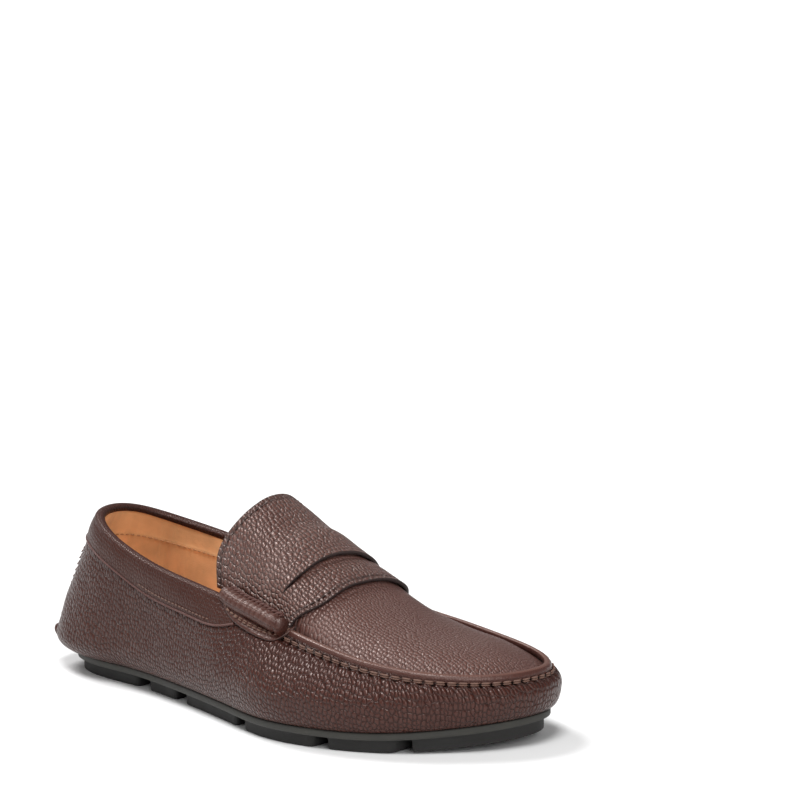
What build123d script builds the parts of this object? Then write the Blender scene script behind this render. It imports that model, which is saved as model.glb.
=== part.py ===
from build123d import *
import math
import os

# A slip-on driving moccasin for the right foot, in millimetres.
# +X runs from heel to toe, +Y to the inner (medial) side of the foot, +Z up.
# The origin is on the ground under the middle of the shoe.

os.makedirs("parts", exist_ok=True)

# ---- driving dimensions ------------------------------------------------------

HEEL_TO_ORIGIN = 140.0   # plan lists below count x from the back of the heel
TREAD_HEIGHT = 6.0       # ground to the underside of the sole plate
PLATE_THICK = 3.5
PLATE_TUCK = 1.5         # the wall leather starts this far inside the rim
TOE_SPRING = 5.0         # lift of the sole at the toe
SPRING_START = 215.0
SPRING_END = 275.0

LEATHER = 1.6            # outer leather
STIFFENER = 1.0          # heel counter, and the room that padding takes
LINING = 1.0
COLLAR_LEATHER = 1.4
COLLAR_PUFF = 0.6        # the padded collar stands this far out
BOARD_THICK = 2.0
FOAM_THICK = 2.5
SOCK_THICK = 1.2
MASK_LEATHER = 2.0       # saddle and tongue leather

ROLL_RADIUS = 4.3        # rolled seam on each side of the saddle
THREAD_RADIUS = 0.7
TONGUE_GAP = 0.6         # clear of the saddle at the flex line

PLATE_TOP = TREAD_HEIGHT + PLATE_THICK
LINING_OUT = LEATHER + STIFFENER
LINING_IN = LINING_OUT + LINING
BOARD_TOP = PLATE_TOP + LEATHER + BOARD_THICK
FOAM_TOP = BOARD_TOP + FOAM_THICK
SOCK_TOP = FOAM_TOP + SOCK_THICK

COUNTER_END = 62.0
COUNTER_TOP = 54.0
FLEX_LOW = (136.0, 53.0)     # the line in side view where the tongue starts to flex
FLEX_HIGH = (166.0, 93.0)
TONGUE_PROFILE = [(126, 57.8), (124.3, 66), (124, 74), (126.5, 82.5), (130.5, 91), (134, 104), (176, 104),
                  (139.5, 57.8)]
SADDLE_SIDE = 166.0          # front edge of the saddle at its sides and over the middle
SADDLE_MIDDLE = 190.0
SLIT_X = 172.5
SLIT_WIDE = 2.4
SLIT_HALF = 29.0
ROLL_REAR = (140.0, 57.0)
ROLL_FRONT = (176.5, 48.4)
ROLL_OUT = 39.8
ROLL_TURNS = 6
APRON_START = 156.0
APRON_REAR = [(143, 20), (141, 0), (143, -20)]   # plan of the apron's rear edge, under the saddle
WELT_RISE = 1.4
WELT_WIDTH = 3.2
PADDING_DROP = 7.0
COLLAR_END = 149.0
TOPLINE_END = 152.0
TAB_COVER = 3.0              # the side tab ends this far above the middle of the roll
TAB_CURVE = [(136, 57), (138.5, 52.5), (144, 48.5), (151, 45.5), (160, 43), (168.5, 41.5), (175, 42.5),
             (178.5, 47)]
HEEL_SEAM_Y = -5.0           # the back seam follows the twist of the last
HEEL_WELT_RISE = 2.4
HEEL_WELT_HALF = 1.7
HEEL_WELT_TOP = 59.0
LOBE_RISE = 3.6
LOBE_HALF = 6.0
LOBE_LOW = 13.0
LOBE_TOP = 21.0
MOC_THREAD_DROP = 2.6
MOC_STITCHES = 42
HEEL_STITCHES = 9
THREAD_PROUD = 0.9           # middle of a stitch over the surface it lies on
LONG_STITCH = 3.6
SHORT_STITCH = 2.3

# ---- outlines ----------------------------------------------------------------

# Sole rim seen from above, from the back of the heel along the outer side.
RIM = [
    (11, 0), (15.5, -17), (32, -26), (62, -28.5), (98, -34.5), (125, -41), (150, -48), (175, -54),
    (197, -52.5), (218, -46), (238, -34.5), (256, -17), (268, 0), (273, 18), (269, 35), (254, 46),
    (232, 50), (205, 49.5), (175, 44), (150, 37), (125, 31.5), (95, 28.5), (62, 28), (32, 26), (15.5, 17),
]
# Upper edge of the side wall over each of those points: topline, then moccasin seam.
EDGE = [
    (26.5, 0, 80), (31, -16.5, 79.5), (46, -28, 75.6), (70, -33, 67.7), (98, -36, 62), (125, -37.5, 58.4),
    (150, -38, 54), (173, -35.5, 47), (194, -36, 43), (214, -34.5, 39.5), (233, -29.5, 37), (251, -18, 35),
    (264, -3, 34), (271, 14, 34), (269, 32, 34), (254, 43, 35.5), (232, 45, 38.5), (207, 44, 42),
    (180, 41, 46.5), (150, 38.5, 54), (125, 37, 58), (97, 35.5, 61.8), (70, 33, 66.7), (46, 28, 71.3),
    (31, 16.5, 76.6),
]
# Side-view curves, x from the back of the heel against height.
SEAM_LINE = [(-5, 69), (20, 68.5), (32, 67.2), (44, 64), (58, 59), (77, 51.9), (92, 48.4), (108, 46.5),
             (121, 45.2), (150, 44.8), (173, 46.5), (194, 43), (214, 40), (233, 37.5), (251, 35.5),
             (272, 34.2), (295, 34)]
TOPLINE = [(-5, 80), (31, 79), (46, 75.2), (70, 67.5), (98, 61.8), (125, 58.3), (150, 54)]
MASK_LOWER = [(110, 57), (126, 57.5), (138, 56), (150, 52.5), (176, 47.5), (200, 44)]
# Instep: x, half width, foot of the arch, crown height, sideways shift, squareness of the shoulder.
ARCH = [
    (118, 29.0, 48, 100, 0.0, 2.1), (135, 30.5, 48, 94, 0.3, 2.1), (152, 32.5, 47, 83.5, 0.6, 2.2),
    (172, 34.5, 43, 72.5, 1.5, 2.2), (190, 37.0, 41.0, 60.5, 2.5, 1.6), (210, 38.5, 39.5, 51.5, 4.0, 1.2),
    (232, 38.0, 37.5, 45.5, 7.0, 1.05), (252, 33.0, 35.5, 41, 10.0, 1.0), (268, 20.0, 34.0, 36.5, 13.0, 1.0),
    (280, 9.0, 33.5, 34.5, 14.0, 1.0),
]
BULGE_HEIGHT = [(0, 18), (60, 20), (150, 22), (285, 25)]
BULGE_OUT = [(0, 12.5), (30, 9.5), (62, 6.5), (98, 5), (150, 4), (285, 5)]
WALL_LEAN = [(0, 1.2), (90, 1.25), (150, 1.7), (285, 1.7)]   # power of the wall's lean over its bulge
ARCH_POWER = 2.2
HALF_WIDTH = 90.0            # further out than any part of the shoe
SKIRT = 25.0                 # the instep volume reaches down to here
LEVELS = [7.0, 11.0, 15.0, 20.0, 26.0, 33.0, 40.0, 48.0, 58.0, 70.0, 84.0]

GAPS = [(67, 75), (98, 106), (152, 158), (202, 208), (236, 241)]
TREAD_INSET = 3.0
FOOTBED_INSET = 4.5
TREAD_NAMES = ["tread_heel", "tread_shank", "tread_waist", "tread_ball", "tread_forefoot", "tread_toe"]


def lerp_table(table, x):
    """Straight-line value of a two-column table at x."""
    for (x0, v0), (x1, v1) in zip(table, table[1:]):
        if x <= x1:
            share = max(0.0, (x - x0) / (x1 - x0))
            return v0 + (v1 - v0) * share
    return table[-1][1]


def spring(x):
    """Lift of the sole at x from the back of the heel."""
    share = min(1.0, max(0.0, (x - SPRING_START) / (SPRING_END - SPRING_START)))
    return TOE_SPRING * share * share


def shifted(points):
    """Plan or side-view points moved from heel x to the part's own x."""
    return [(x - HEEL_TO_ORIGIN, *rest) for x, *rest in points]


def normals(points):
    """Outward unit normals of a closed plan outline that runs anticlockwise."""
    result = []
    for i in range(len(points)):
        (xa, ya), (xb, yb) = points[i - 1][:2], points[(i + 1) % len(points)][:2]
        length = math.hypot(xb - xa, yb - ya)
        result.append(((yb - ya) / length, (xa - xb) / length))
    return result


def moved_out(points, amount):
    """A closed plan outline moved outwards by an amount, or inwards if it is negative."""
    return [(x + nx * amount, y + ny * amount) for (x, y), (nx, ny) in zip(points, normals(points))]


def wall_outline(z, out):
    """Plan outline of the side wall at height z, moved outwards by out."""
    outline = []
    for (rx, ry), (ex, ey, ez), (nx, ny) in zip(RIM, EDGE, normals(RIM)):
        foot = PLATE_TOP + spring(rx)
        bulge_z = lerp_table(BULGE_HEIGHT, rx)
        bulge = lerp_table(BULGE_OUT, rx)
        bx, by = rx + nx * bulge, ry + ny * bulge
        if z < bulge_z:
            low = min(1.0, (bulge_z - z) / (bulge_z - foot))
            reach = (PLATE_TUCK + bulge) * math.sqrt(1 - low * low) - PLATE_TUCK
            outline.append((rx + nx * reach, ry + ny * reach))
        else:
            share = min(1.25, (z - bulge_z) / (ez - bulge_z))
            lean = share ** lerp_table(WALL_LEAN, rx)
            outline.append((bx + (ex - bx) * lean, by + (ey - by) * lean))
    return moved_out(outline, out)


def wall_volume(out):
    """Solid inside the side wall, moved outwards by out."""
    with BuildPart() as volume:
        for z in LEVELS:
            with BuildSketch(Plane.XY.offset(z)):
                with BuildLine():
                    Spline(*shifted(wall_outline(z, out)), periodic=True)
                make_face()
        loft()
    return volume.part


def arch_volume(out):
    """Solid under the instep arch, moved outwards by out."""
    with BuildPart() as volume:
        for x, half, foot, crown, shift, square in ARCH:
            height = crown - foot + out
            ring = []
            for step in range(-6, 7):
                v = math.sin(step / 6 * math.pi / 2)
                z = foot + height * (1 - abs(v) ** ARCH_POWER) ** (1 / square)
                ring.append((shift + v * (half + out), z))
            with BuildSketch(Plane.YZ.offset(x - HEEL_TO_ORIGIN)):
                with BuildLine():
                    Spline(*ring)
                    Polyline(ring[-1], (ring[-1][0], SKIRT), (ring[0][0], SKIRT), ring[0])
                make_face()
        loft()
    return volume.part


def side_region(curve, up, start=-20, end=300):
    """Slab above (or below) a side-view curve, between two x, all across the shoe."""
    points = [point for point in curve if start < point[0] < end]
    ends = [(start, lerp_table(curve, start)), (end, lerp_table(curve, end))]
    path = shifted([ends[0], *points, ends[1]])
    limit = 140 if up else -20
    with BuildPart() as region:
        with BuildSketch(Plane.XZ):
            with BuildLine():
                Spline(*path)
                Polyline(path[-1], (path[-1][0], limit), (path[0][0], limit), path[0])
            make_face()
        extrude(amount=HALF_WIDTH, both=True)
    return region.part


def sole_region(height, up):
    """Slab above (or below) a height over the ground that is flat and then follows the toe spring."""
    rising = shifted([(x, height + spring(x)) for x in (SPRING_START, 235, 255, SPRING_END, 300)])
    rear = shifted([(-20, height)])[0]
    limit = 140 if up else -20
    with BuildPart() as region:
        with BuildSketch(Plane.XZ):
            with BuildLine():
                Line(rear, rising[0])
                Spline(*rising, tangents=[(1, 0), (1, 0)])
                Polyline(rising[-1], (rising[-1][0], limit), (rear[0], limit), rear)
            make_face()
        extrude(amount=HALF_WIDTH, both=True)
    return region.part


def plan_prism(points, low, high):
    """Upright prism with a smooth closed plan outline."""
    with BuildPart() as prism:
        with BuildSketch(Plane.XY.offset(low)):
            with BuildLine():
                Spline(*shifted(points), periodic=True)
            make_face()
        extrude(amount=high - low)
    return prism.part


def save(builder, name):
    """Label a finished piece and write it."""
    builder.part.label = name
    export_step(builder.part, f"parts/{name}.step")


def on_wall(x, z, out, side):
    """Point on the side wall at x and height z; side is -1 for the outer side, 1 for the inner."""
    outline = wall_outline(z, out)
    half = [point for point in outline if point[1] * side > 0]
    half.sort()
    return (x - HEEL_TO_ORIGIN, lerp_table(half, x), z)


def on_arch(x, v, out):
    """Point on the instep arch at x, where v runs from -1 at the outer foot of the arch to 1."""
    half = lerp_table([(row[0], row[1]) for row in ARCH], x) + out
    foot = lerp_table([(row[0], row[2]) for row in ARCH], x)
    crown = lerp_table([(row[0], row[3]) for row in ARCH], x) + out
    shift = lerp_table([(row[0], row[4]) for row in ARCH], x)
    square = lerp_table([(row[0], row[5]) for row in ARCH], x)
    z = foot + (crown - foot) * (1 - abs(v) ** ARCH_POWER) ** (1 / square)
    return (x - HEEL_TO_ORIGIN, shift + v * half, z)


def save_stitches(rows, name):
    """Short straight stitches, spaced evenly along smooth paths; a row is (points, count, length)."""
    with BuildPart() as thread:
        for points, count, length in rows:
            path = Edge.make_spline([Vector(*point) for point in points])
            for number in range(count):
                with Locations(path.location_at((number + 0.5) / count)):
                    Cylinder(THREAD_RADIUS, length)
    save(thread, name)


# ---- shared volumes ----------------------------------------------------------

wall_puffed = wall_volume(COLLAR_PUFF)
wall_outside = wall_volume(0)
wall_leather = wall_volume(-LEATHER)
wall_stiff = wall_volume(-LINING_OUT)
wall_inside = wall_volume(-LINING_IN)
arch_mask = arch_volume(MASK_LEATHER)
arch_outside = arch_volume(0)
arch_leather = arch_volume(-MASK_LEATHER)
arch_inside = arch_volume(-MASK_LEATHER - LINING)

below_seam = side_region(SEAM_LINE, False)
above_seam = side_region(SEAM_LINE, True)
above_plate = sole_region(PLATE_TOP, True)
above_wrap_floor = sole_region(PLATE_TOP + LEATHER, True)

ridge_plan = [point[:2] for point in EDGE[6:20]] + APRON_REAR
ridge_prism = plan_prism(ridge_plan, 25, 110)


def bar(low, high):
    """Block between two corners, given from the back of the heel."""
    (x0, y0, z0), (x1, y1, z1) = low, high
    with BuildPart() as block:
        with BuildSketch(Plane.XY.offset(z0)):
            with Locations(((x0 + x1) / 2 - HEEL_TO_ORIGIN, (y0 + y1) / 2)):
                Rectangle(x1 - x0, y1 - y0)
        extrude(amount=z1 - z0)
    return block.part


def side_shape(points):
    """Straight-edged side-view outline pushed right across the shoe."""
    with BuildPart() as shape:
        with BuildSketch(Plane.XZ):
            with BuildLine():
                Polyline(*shifted(points), close=True)
            make_face()
        extrude(amount=HALF_WIDTH, both=True)
    return shape.part


# ---- sole --------------------------------------------------------------------

with BuildPart() as sole_plate:
    add(plan_prism(RIM, 0, 30))
    add(sole_region(TREAD_HEIGHT, True), mode=Mode.INTERSECT)
    add(sole_region(PLATE_TOP, False), mode=Mode.INTERSECT)
save(sole_plate, "sole_plate")

tread_edges = [0, *(x for gap in GAPS for x in gap), 290]
for index, name in enumerate(TREAD_NAMES):
    with BuildPart() as tread:
        add(plan_prism(moved_out(RIM, -TREAD_INSET), -1, 30))
        add(bar((tread_edges[2 * index], -80, -1), (tread_edges[2 * index + 1], 80, 30)), mode=Mode.INTERSECT)
        add(sole_region(0, True), mode=Mode.INTERSECT)
        add(sole_region(TREAD_HEIGHT, False), mode=Mode.INTERSECT)
    save(tread, name)

# ---- footbed -----------------------------------------------------------------

footbed = [("insole_board", PLATE_TOP + LEATHER, BOARD_TOP), ("footbed_foam", BOARD_TOP, FOAM_TOP),
           ("sock_lining", FOAM_TOP, SOCK_TOP)]
for name, low, high in footbed:
    with BuildPart() as layer:
        add(plan_prism(moved_out(RIM, -FOOTBED_INSET), 0, 40))
        add(sole_region(low, True), mode=Mode.INTERSECT)
        add(sole_region(high, False), mode=Mode.INTERSECT)
    save(layer, name)

# ---- lower leather -----------------------------------------------------------

with BuildPart() as wrap_hollow:
    add(wall_leather)
    add(above_wrap_floor, mode=Mode.INTERSECT)

with BuildPart() as wrap:
    add(wall_outside)
    add(above_plate, mode=Mode.INTERSECT)
    add(below_seam, mode=Mode.INTERSECT)
    add(wrap_hollow.part, mode=Mode.SUBTRACT)
save(wrap, "wrap")

with BuildPart() as heel_counter:
    add(wall_leather)
    add(wall_stiff, mode=Mode.SUBTRACT)
    add(above_wrap_floor, mode=Mode.INTERSECT)
    add(bar((-20, -80, 0), (COUNTER_END, 80, COUNTER_TOP)), mode=Mode.INTERSECT)
save(heel_counter, "heel_counter")

# ---- mask: saddle and tongue -------------------------------------------------

front_of_flex = side_shape([(FLEX_LOW[0], FLEX_LOW[1]), (FLEX_HIGH[0], FLEX_HIGH[1]), (320, 130), (320, 0),
                            (FLEX_LOW[0], 0)])
behind_flex = side_shape([(FLEX_LOW[0] - TONGUE_GAP, FLEX_LOW[1]), (FLEX_HIGH[0] - TONGUE_GAP, FLEX_HIGH[1]),
                          (60, 130), (60, FLEX_LOW[1])])
tongue_side = side_shape(TONGUE_PROFILE)

with BuildPart() as saddle_front:
    with BuildSketch(Plane.XY):
        with BuildLine():
            ThreePointArc(*shifted([(SADDLE_SIDE, -48), (SADDLE_MIDDLE, 3), (SADDLE_SIDE, 54)]))
            Polyline(*shifted([(SADDLE_SIDE, 54), (100, 54), (100, -48), (SADDLE_SIDE, -48)]))
        make_face()
    extrude(amount=130)

roll_builders = {}
for side, name in ((-1, "lateral"), (1, "medial")):
    rear = Vector(*shifted([(ROLL_REAR[0], side * ROLL_OUT, ROLL_REAR[1])])[0])
    front = Vector(*shifted([(ROLL_FRONT[0], side * ROLL_OUT, ROLL_FRONT[1])])[0])
    along = Plane(origin=rear, z_dir=front - rear)
    with BuildPart() as roll:
        with BuildSketch(along):
            Circle(ROLL_RADIUS)
        extrude(amount=(front - rear).length)
        fillet(roll.edges(), ROLL_RADIUS * 0.3)
    save(roll, f"{name}_roll")
    roll_builders[name] = roll.part
    with BuildPart() as roll_thread:
        for turn in range(ROLL_TURNS):
            share = (turn + 0.7) / (ROLL_TURNS + 0.4)
            with BuildSketch(Plane(origin=rear + (front - rear) * share, z_dir=front - rear)):
                Circle(ROLL_RADIUS + THREAD_RADIUS)
                Circle(ROLL_RADIUS, mode=Mode.SUBTRACT)
            extrude(amount=THREAD_RADIUS * 1.6)
    save(roll_thread, f"{name}_roll_thread")

with BuildPart() as saddle:
    add(arch_mask)
    add(arch_outside, mode=Mode.SUBTRACT)
    add(side_region(MASK_LOWER, True), mode=Mode.INTERSECT)
    add(front_of_flex, mode=Mode.INTERSECT)
    add(saddle_front.part, mode=Mode.INTERSECT)
    add(bar((SLIT_X, -SLIT_HALF, 55), (SLIT_X + SLIT_WIDE, SLIT_HALF, 120)), mode=Mode.SUBTRACT)
    add(roll_builders["lateral"], mode=Mode.SUBTRACT)
    add(roll_builders["medial"], mode=Mode.SUBTRACT)
save(saddle, "saddle")

with BuildPart() as tongue:
    add(arch_mask)
    add(arch_outside, mode=Mode.SUBTRACT)
    add(tongue_side, mode=Mode.INTERSECT)
    add(behind_flex, mode=Mode.INTERSECT)
save(tongue, "tongue")

with BuildPart() as tongue_lining:
    add(arch_outside)
    add(arch_volume(-LINING), mode=Mode.SUBTRACT)
    add(tongue_side, mode=Mode.INTERSECT)
    add(behind_flex, mode=Mode.INTERSECT)
save(tongue_lining, "tongue_lining")

# ---- apron over the toes -----------------------------------------------------

with BuildPart() as apron:
    add(arch_outside)
    add(arch_leather, mode=Mode.SUBTRACT)
    add(ridge_prism, mode=Mode.INTERSECT)
    add(above_seam, mode=Mode.INTERSECT)
    add(front_of_flex, mode=Mode.INTERSECT)
    add(bar((APRON_START, -80, 0), (300, 80, 120)), mode=Mode.INTERSECT)
save(apron, "apron")

with BuildPart() as apron_welt:
    add(arch_volume(WELT_RISE))
    add(arch_outside, mode=Mode.SUBTRACT)
    add(ridge_prism, mode=Mode.INTERSECT)
    add(plan_prism(moved_out(ridge_plan, -WELT_WIDTH), 20, 120), mode=Mode.SUBTRACT)
    add(above_seam, mode=Mode.INTERSECT)
    add(bar((ROLL_FRONT[0] + 3, -80, 0), (300, 80, 120)), mode=Mode.INTERSECT)
save(apron_welt, "apron_welt")

# ---- collar ------------------------------------------------------------------

below_topline = side_region(TOPLINE, False, end=TOPLINE_END)
tongue_room = arch_volume(MASK_LEATHER + TONGUE_GAP)
collar_layers = [("collar", wall_puffed, wall_volume(COLLAR_PUFF - COLLAR_LEATHER), 0.0),
                 ("collar_padding", wall_volume(COLLAR_PUFF - COLLAR_LEATHER), wall_stiff, PADDING_DROP)]
for name, outer, inner, drop in collar_layers:
    with BuildPart() as layer:
        add(outer)
        add(inner, mode=Mode.SUBTRACT)
        add(above_seam, mode=Mode.INTERSECT)
        add(side_region([(x, z - drop) for x, z in TOPLINE], False, end=TOPLINE_END), mode=Mode.INTERSECT)
        add(bar((-20, -80, 0), (COLLAR_END, 80, 120)), mode=Mode.INTERSECT)
        add(tongue_room, mode=Mode.SUBTRACT)
        add(roll_builders["lateral"], mode=Mode.SUBTRACT)
        add(roll_builders["medial"], mode=Mode.SUBTRACT)
    save(layer, name)

# ---- linings -----------------------------------------------------------------

with BuildPart() as quarter_lining:
    add(wall_stiff)
    add(wall_inside, mode=Mode.SUBTRACT)
    add(above_wrap_floor, mode=Mode.INTERSECT)
    add(below_topline, mode=Mode.INTERSECT)
    add(bar((-20, -80, 0), (COLLAR_END, 80, 120)), mode=Mode.INTERSECT)
    add(tongue_room, mode=Mode.SUBTRACT)
save(quarter_lining, "quarter_lining")

with BuildPart() as vamp_upper:
    add(arch_leather)
    add(ridge_prism, mode=Mode.INTERSECT)
    add(above_seam, mode=Mode.INTERSECT)

with BuildPart() as toe_room_low:
    add(wall_inside)
    add(side_region([(x, z - LINING) for x, z in SEAM_LINE], False), mode=Mode.INTERSECT)

with BuildPart() as toe_room_high:
    add(arch_inside)
    add(ridge_prism, mode=Mode.INTERSECT)
    add(side_region([(x, z - LINING - 0.5) for x, z in SEAM_LINE], True), mode=Mode.INTERSECT)

with BuildPart() as vamp_lining:
    add(wall_stiff)
    add(below_seam, mode=Mode.INTERSECT)
    add(vamp_upper.part)
    add(toe_room_low.part, mode=Mode.SUBTRACT)
    add(toe_room_high.part, mode=Mode.SUBTRACT)
    add(above_wrap_floor, mode=Mode.INTERSECT)
    add(bar((COLLAR_END, -80, 0), (300, 80, 120)), mode=Mode.INTERSECT)
    add(front_of_flex, mode=Mode.INTERSECT)
save(vamp_lining, "vamp_lining")

# ---- side tabs, back seam ----------------------------------------------------

with BuildPart() as tab_outline:
    with BuildSketch(Plane.XZ):
        with BuildLine():
            Spline(*shifted(TAB_CURVE))
            Polyline(*shifted([TAB_CURVE[-1], (TAB_CURVE[-1][0], ROLL_FRONT[1] + TAB_COVER),
                               (TAB_CURVE[0][0], ROLL_REAR[1] + TAB_COVER), TAB_CURVE[0]]))
        make_face()
    extrude(amount=HALF_WIDTH, both=True)
tab_shell = wall_volume(COLLAR_PUFF + LEATHER)
for side, name in ((-1, "lateral"), (1, "medial")):
    near, far = sorted((side * 20, side * 90))
    with BuildPart() as tab:
        add(tab_shell)
        add(wall_puffed, mode=Mode.SUBTRACT)
        add(tab_outline.part, mode=Mode.INTERSECT)
        add(bar((120, near, 0), (190, far, 120)), mode=Mode.INTERSECT)
        add(arch_mask, mode=Mode.SUBTRACT)
        add(roll_builders[name], mode=Mode.SUBTRACT)
    save(tab, f"{name}_side_tab")

with BuildPart() as heel_welt:
    add(wall_volume(HEEL_WELT_RISE))
    add(wall_outside, mode=Mode.SUBTRACT)
    add(bar((-30, HEEL_SEAM_Y - HEEL_WELT_HALF, LOBE_TOP), (40, HEEL_SEAM_Y + HEEL_WELT_HALF, HEEL_WELT_TOP)),
        mode=Mode.INTERSECT)
save(heel_welt, "heel_welt")

with BuildPart() as heel_lobe:
    add(wall_volume(LOBE_RISE))
    add(wall_outside, mode=Mode.SUBTRACT)
    add(bar((-30, HEEL_SEAM_Y - LOBE_HALF, LOBE_LOW), (40, HEEL_SEAM_Y + LOBE_HALF, LOBE_TOP)),
        mode=Mode.INTERSECT)
save(heel_lobe, "heel_lobe")

# ---- thread ------------------------------------------------------------------

moc_path = []
for index in range(7, 19):
    x, y, z = EDGE[index]
    low = z - MOC_THREAD_DROP
    moc_path.append((*shifted([wall_outline(low, THREAD_PROUD)[index]])[0], low))
save_stitches([(moc_path, MOC_STITCHES, LONG_STITCH)], "moc_seam_thread")

collar_rows = []
tab_rows = []
for side in (-1, 1):
    collar_rows.append(([on_wall(x, lerp_table(SEAM_LINE, x) + 2.5, COLLAR_PUFF + THREAD_PROUD, side)
                         for x in (50, 70, 90, 110, 128)], 22, SHORT_STITCH))
    tab_rows.append(([on_wall(x, z + 2.5, COLLAR_PUFF + LEATHER + THREAD_PROUD, side)
                      for x, z in TAB_CURVE[1:-1]], 11, SHORT_STITCH))
save_stitches(collar_rows, "collar_thread")
save_stitches(tab_rows, "side_tab_thread")

with BuildPart() as heel_seam_thread:
    for number in range(HEEL_STITCHES):
        z = LOBE_TOP + 2 + number * (HEEL_WELT_TOP - 2 - LOBE_TOP) / HEEL_STITCHES
        back, outer = wall_outline(z, HEEL_WELT_RISE + THREAD_PROUD)[:2]
        x = back[0] + (outer[0] - back[0]) * (HEEL_SEAM_Y / outer[1]) ** 2
        with Locations(Location((x - HEEL_TO_ORIGIN, HEEL_SEAM_Y, z), (90, 0, 0))):
            Cylinder(THREAD_RADIUS, HEEL_WELT_HALF * 2.4)
save(heel_seam_thread, "heel_seam_thread")

edge_spots = [-0.94, -0.8, -0.6, -0.3, 0, 0.3, 0.6, 0.8, 0.94]
tongue_path = [on_arch(135.5 - 6.5 * v * v, v, MASK_LEATHER + THREAD_PROUD) for v in edge_spots]
save_stitches([(tongue_path, 34, SHORT_STITCH)], "tongue_edge_thread")

saddle_depth = (SADDLE_MIDDLE - SADDLE_SIDE) * 0.85
saddle_path = [on_arch(SADDLE_MIDDLE - 2.5 - saddle_depth * v * v, v, MASK_LEATHER + THREAD_PROUD)
               for v in edge_spots[1:-1]]
save_stitches([(saddle_path, 22, SHORT_STITCH)], "saddle_edge_thread")
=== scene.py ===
import math

import bmesh
import bpy
import numpy as np
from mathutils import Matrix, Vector


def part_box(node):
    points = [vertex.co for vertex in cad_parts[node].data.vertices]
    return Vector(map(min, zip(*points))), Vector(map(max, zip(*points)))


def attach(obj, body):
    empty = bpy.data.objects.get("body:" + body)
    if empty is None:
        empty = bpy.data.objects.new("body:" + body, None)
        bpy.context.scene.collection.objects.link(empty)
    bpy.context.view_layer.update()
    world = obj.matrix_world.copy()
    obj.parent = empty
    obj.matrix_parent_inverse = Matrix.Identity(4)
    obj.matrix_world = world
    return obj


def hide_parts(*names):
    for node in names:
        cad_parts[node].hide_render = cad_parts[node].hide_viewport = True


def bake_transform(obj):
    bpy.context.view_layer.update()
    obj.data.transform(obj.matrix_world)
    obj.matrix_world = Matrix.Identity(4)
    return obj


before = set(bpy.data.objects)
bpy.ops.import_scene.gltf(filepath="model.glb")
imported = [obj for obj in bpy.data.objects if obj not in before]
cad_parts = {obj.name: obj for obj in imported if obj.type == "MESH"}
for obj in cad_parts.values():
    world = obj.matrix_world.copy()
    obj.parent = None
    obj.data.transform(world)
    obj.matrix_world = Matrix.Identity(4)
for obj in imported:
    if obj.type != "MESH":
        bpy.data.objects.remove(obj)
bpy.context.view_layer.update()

# Tables and sizes are in millimetres, with x counted from the back of the heel, as a
# shoemaker measures a last. place() turns them into metres in the frame of the CAD part.

MM = 0.001
RIM_BACK = 11.0  # sole rim starts this far from the heel
HEEL_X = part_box("sole_plate")[0].x / MM - RIM_BACK
PLATE_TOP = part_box("tread_heel")[1].z / MM + 3.5  # top of the sole plate
PLATE_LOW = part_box("tread_heel")[1].z / MM
TOE_SPRING = 5.0
SPRING_START, SPRING_END = 215.0, 275.0
SOCK_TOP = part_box("sock_lining")[0].z / MM + 1.2
LEATHER = 1.6

# Columns of the larger grids.
WRAP_COLUMNS, EDGE_COLUMNS, SOCK_COLUMNS, TAB_COLUMNS = 960, 560, 260, 90

# Sole rim seen from above, outer side first, and the upper edge of the wall over each point.
RIM = [
    (11, 0), (15.5, -17), (32, -26), (62, -28.5), (98, -34.5), (125, -41), (150, -48), (175, -54),
    (197, -52.5), (218, -46), (238, -34.5), (256, -17), (268, 0), (273, 18), (269, 35), (254, 46),
    (232, 50), (205, 49.5), (175, 44), (150, 37), (125, 31.5), (95, 28.5), (62, 28), (32, 26), (15.5, 17),
]
EDGE = [
    (26.5, 0, 80), (31, -16.5, 79.5), (46, -28, 75.6), (70, -33, 67.7), (98, -36, 62), (125, -37.5, 58.4),
    (150, -38, 54), (173, -35.5, 47), (194, -36, 43), (214, -34.5, 39.5), (233, -29.5, 37), (251, -18, 35),
    (264, -3, 34), (271, 14, 34), (269, 32, 34), (254, 43, 35.5), (232, 45, 38.5), (207, 44, 42),
    (180, 41, 46.5), (150, 38.5, 54), (125, 37, 58), (97, 35.5, 61.8), (70, 33, 66.7), (46, 28, 71.3),
    (31, 16.5, 76.6),
]
SEAM_LINE = [(-5, 69), (20, 68.5), (32, 67.2), (44, 64), (58, 59), (77, 51.9), (92, 48.4), (108, 46.5),
             (121, 45.2), (140, 45), (151, 47.5), (173, 49)]
# Instep: x, half width, foot of the arch, crown height, sideways shift, squareness of the shoulder.
ARCH = [
    (118, 29.0, 48, 100, 0.0, 2.1), (135, 30.5, 48, 94, 0.3, 2.1), (152, 32.5, 47, 83.5, 0.6, 2.2),
    (172, 34.5, 43, 72.5, 1.5, 2.2), (190, 37.0, 41.0, 60.5, 2.5, 1.6), (210, 38.5, 39.5, 51.5, 4.0, 1.2),
    (232, 38.0, 37.5, 45.5, 7.0, 1.05), (252, 33.0, 35.5, 41, 10.0, 1.0), (268, 20.0, 34.0, 36.5, 13.0, 1.0),
    (280, 9.0, 33.5, 34.5, 14.0, 1.0),
]
ARCH_POWER = 2.2  # roundness of the arch in section
# Wall by x: height of its widest line, how far that stands out, and how late it leans in above.
BULGE_HEIGHT = [(-10, 18), (60, 20), (150, 22), (290, 25)]
BULGE_OUT = [(-10, 12.4), (0, 12), (30, 9.3), (62, 6.5), (98, 5), (150, 4), (290, 5)]
LEAN = [(-10, 1.08), (30, 1.1), (90, 1.25), (150, 1.7), (290, 1.7)]


# ---- curves ------------------------------------------------------------------

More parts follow.
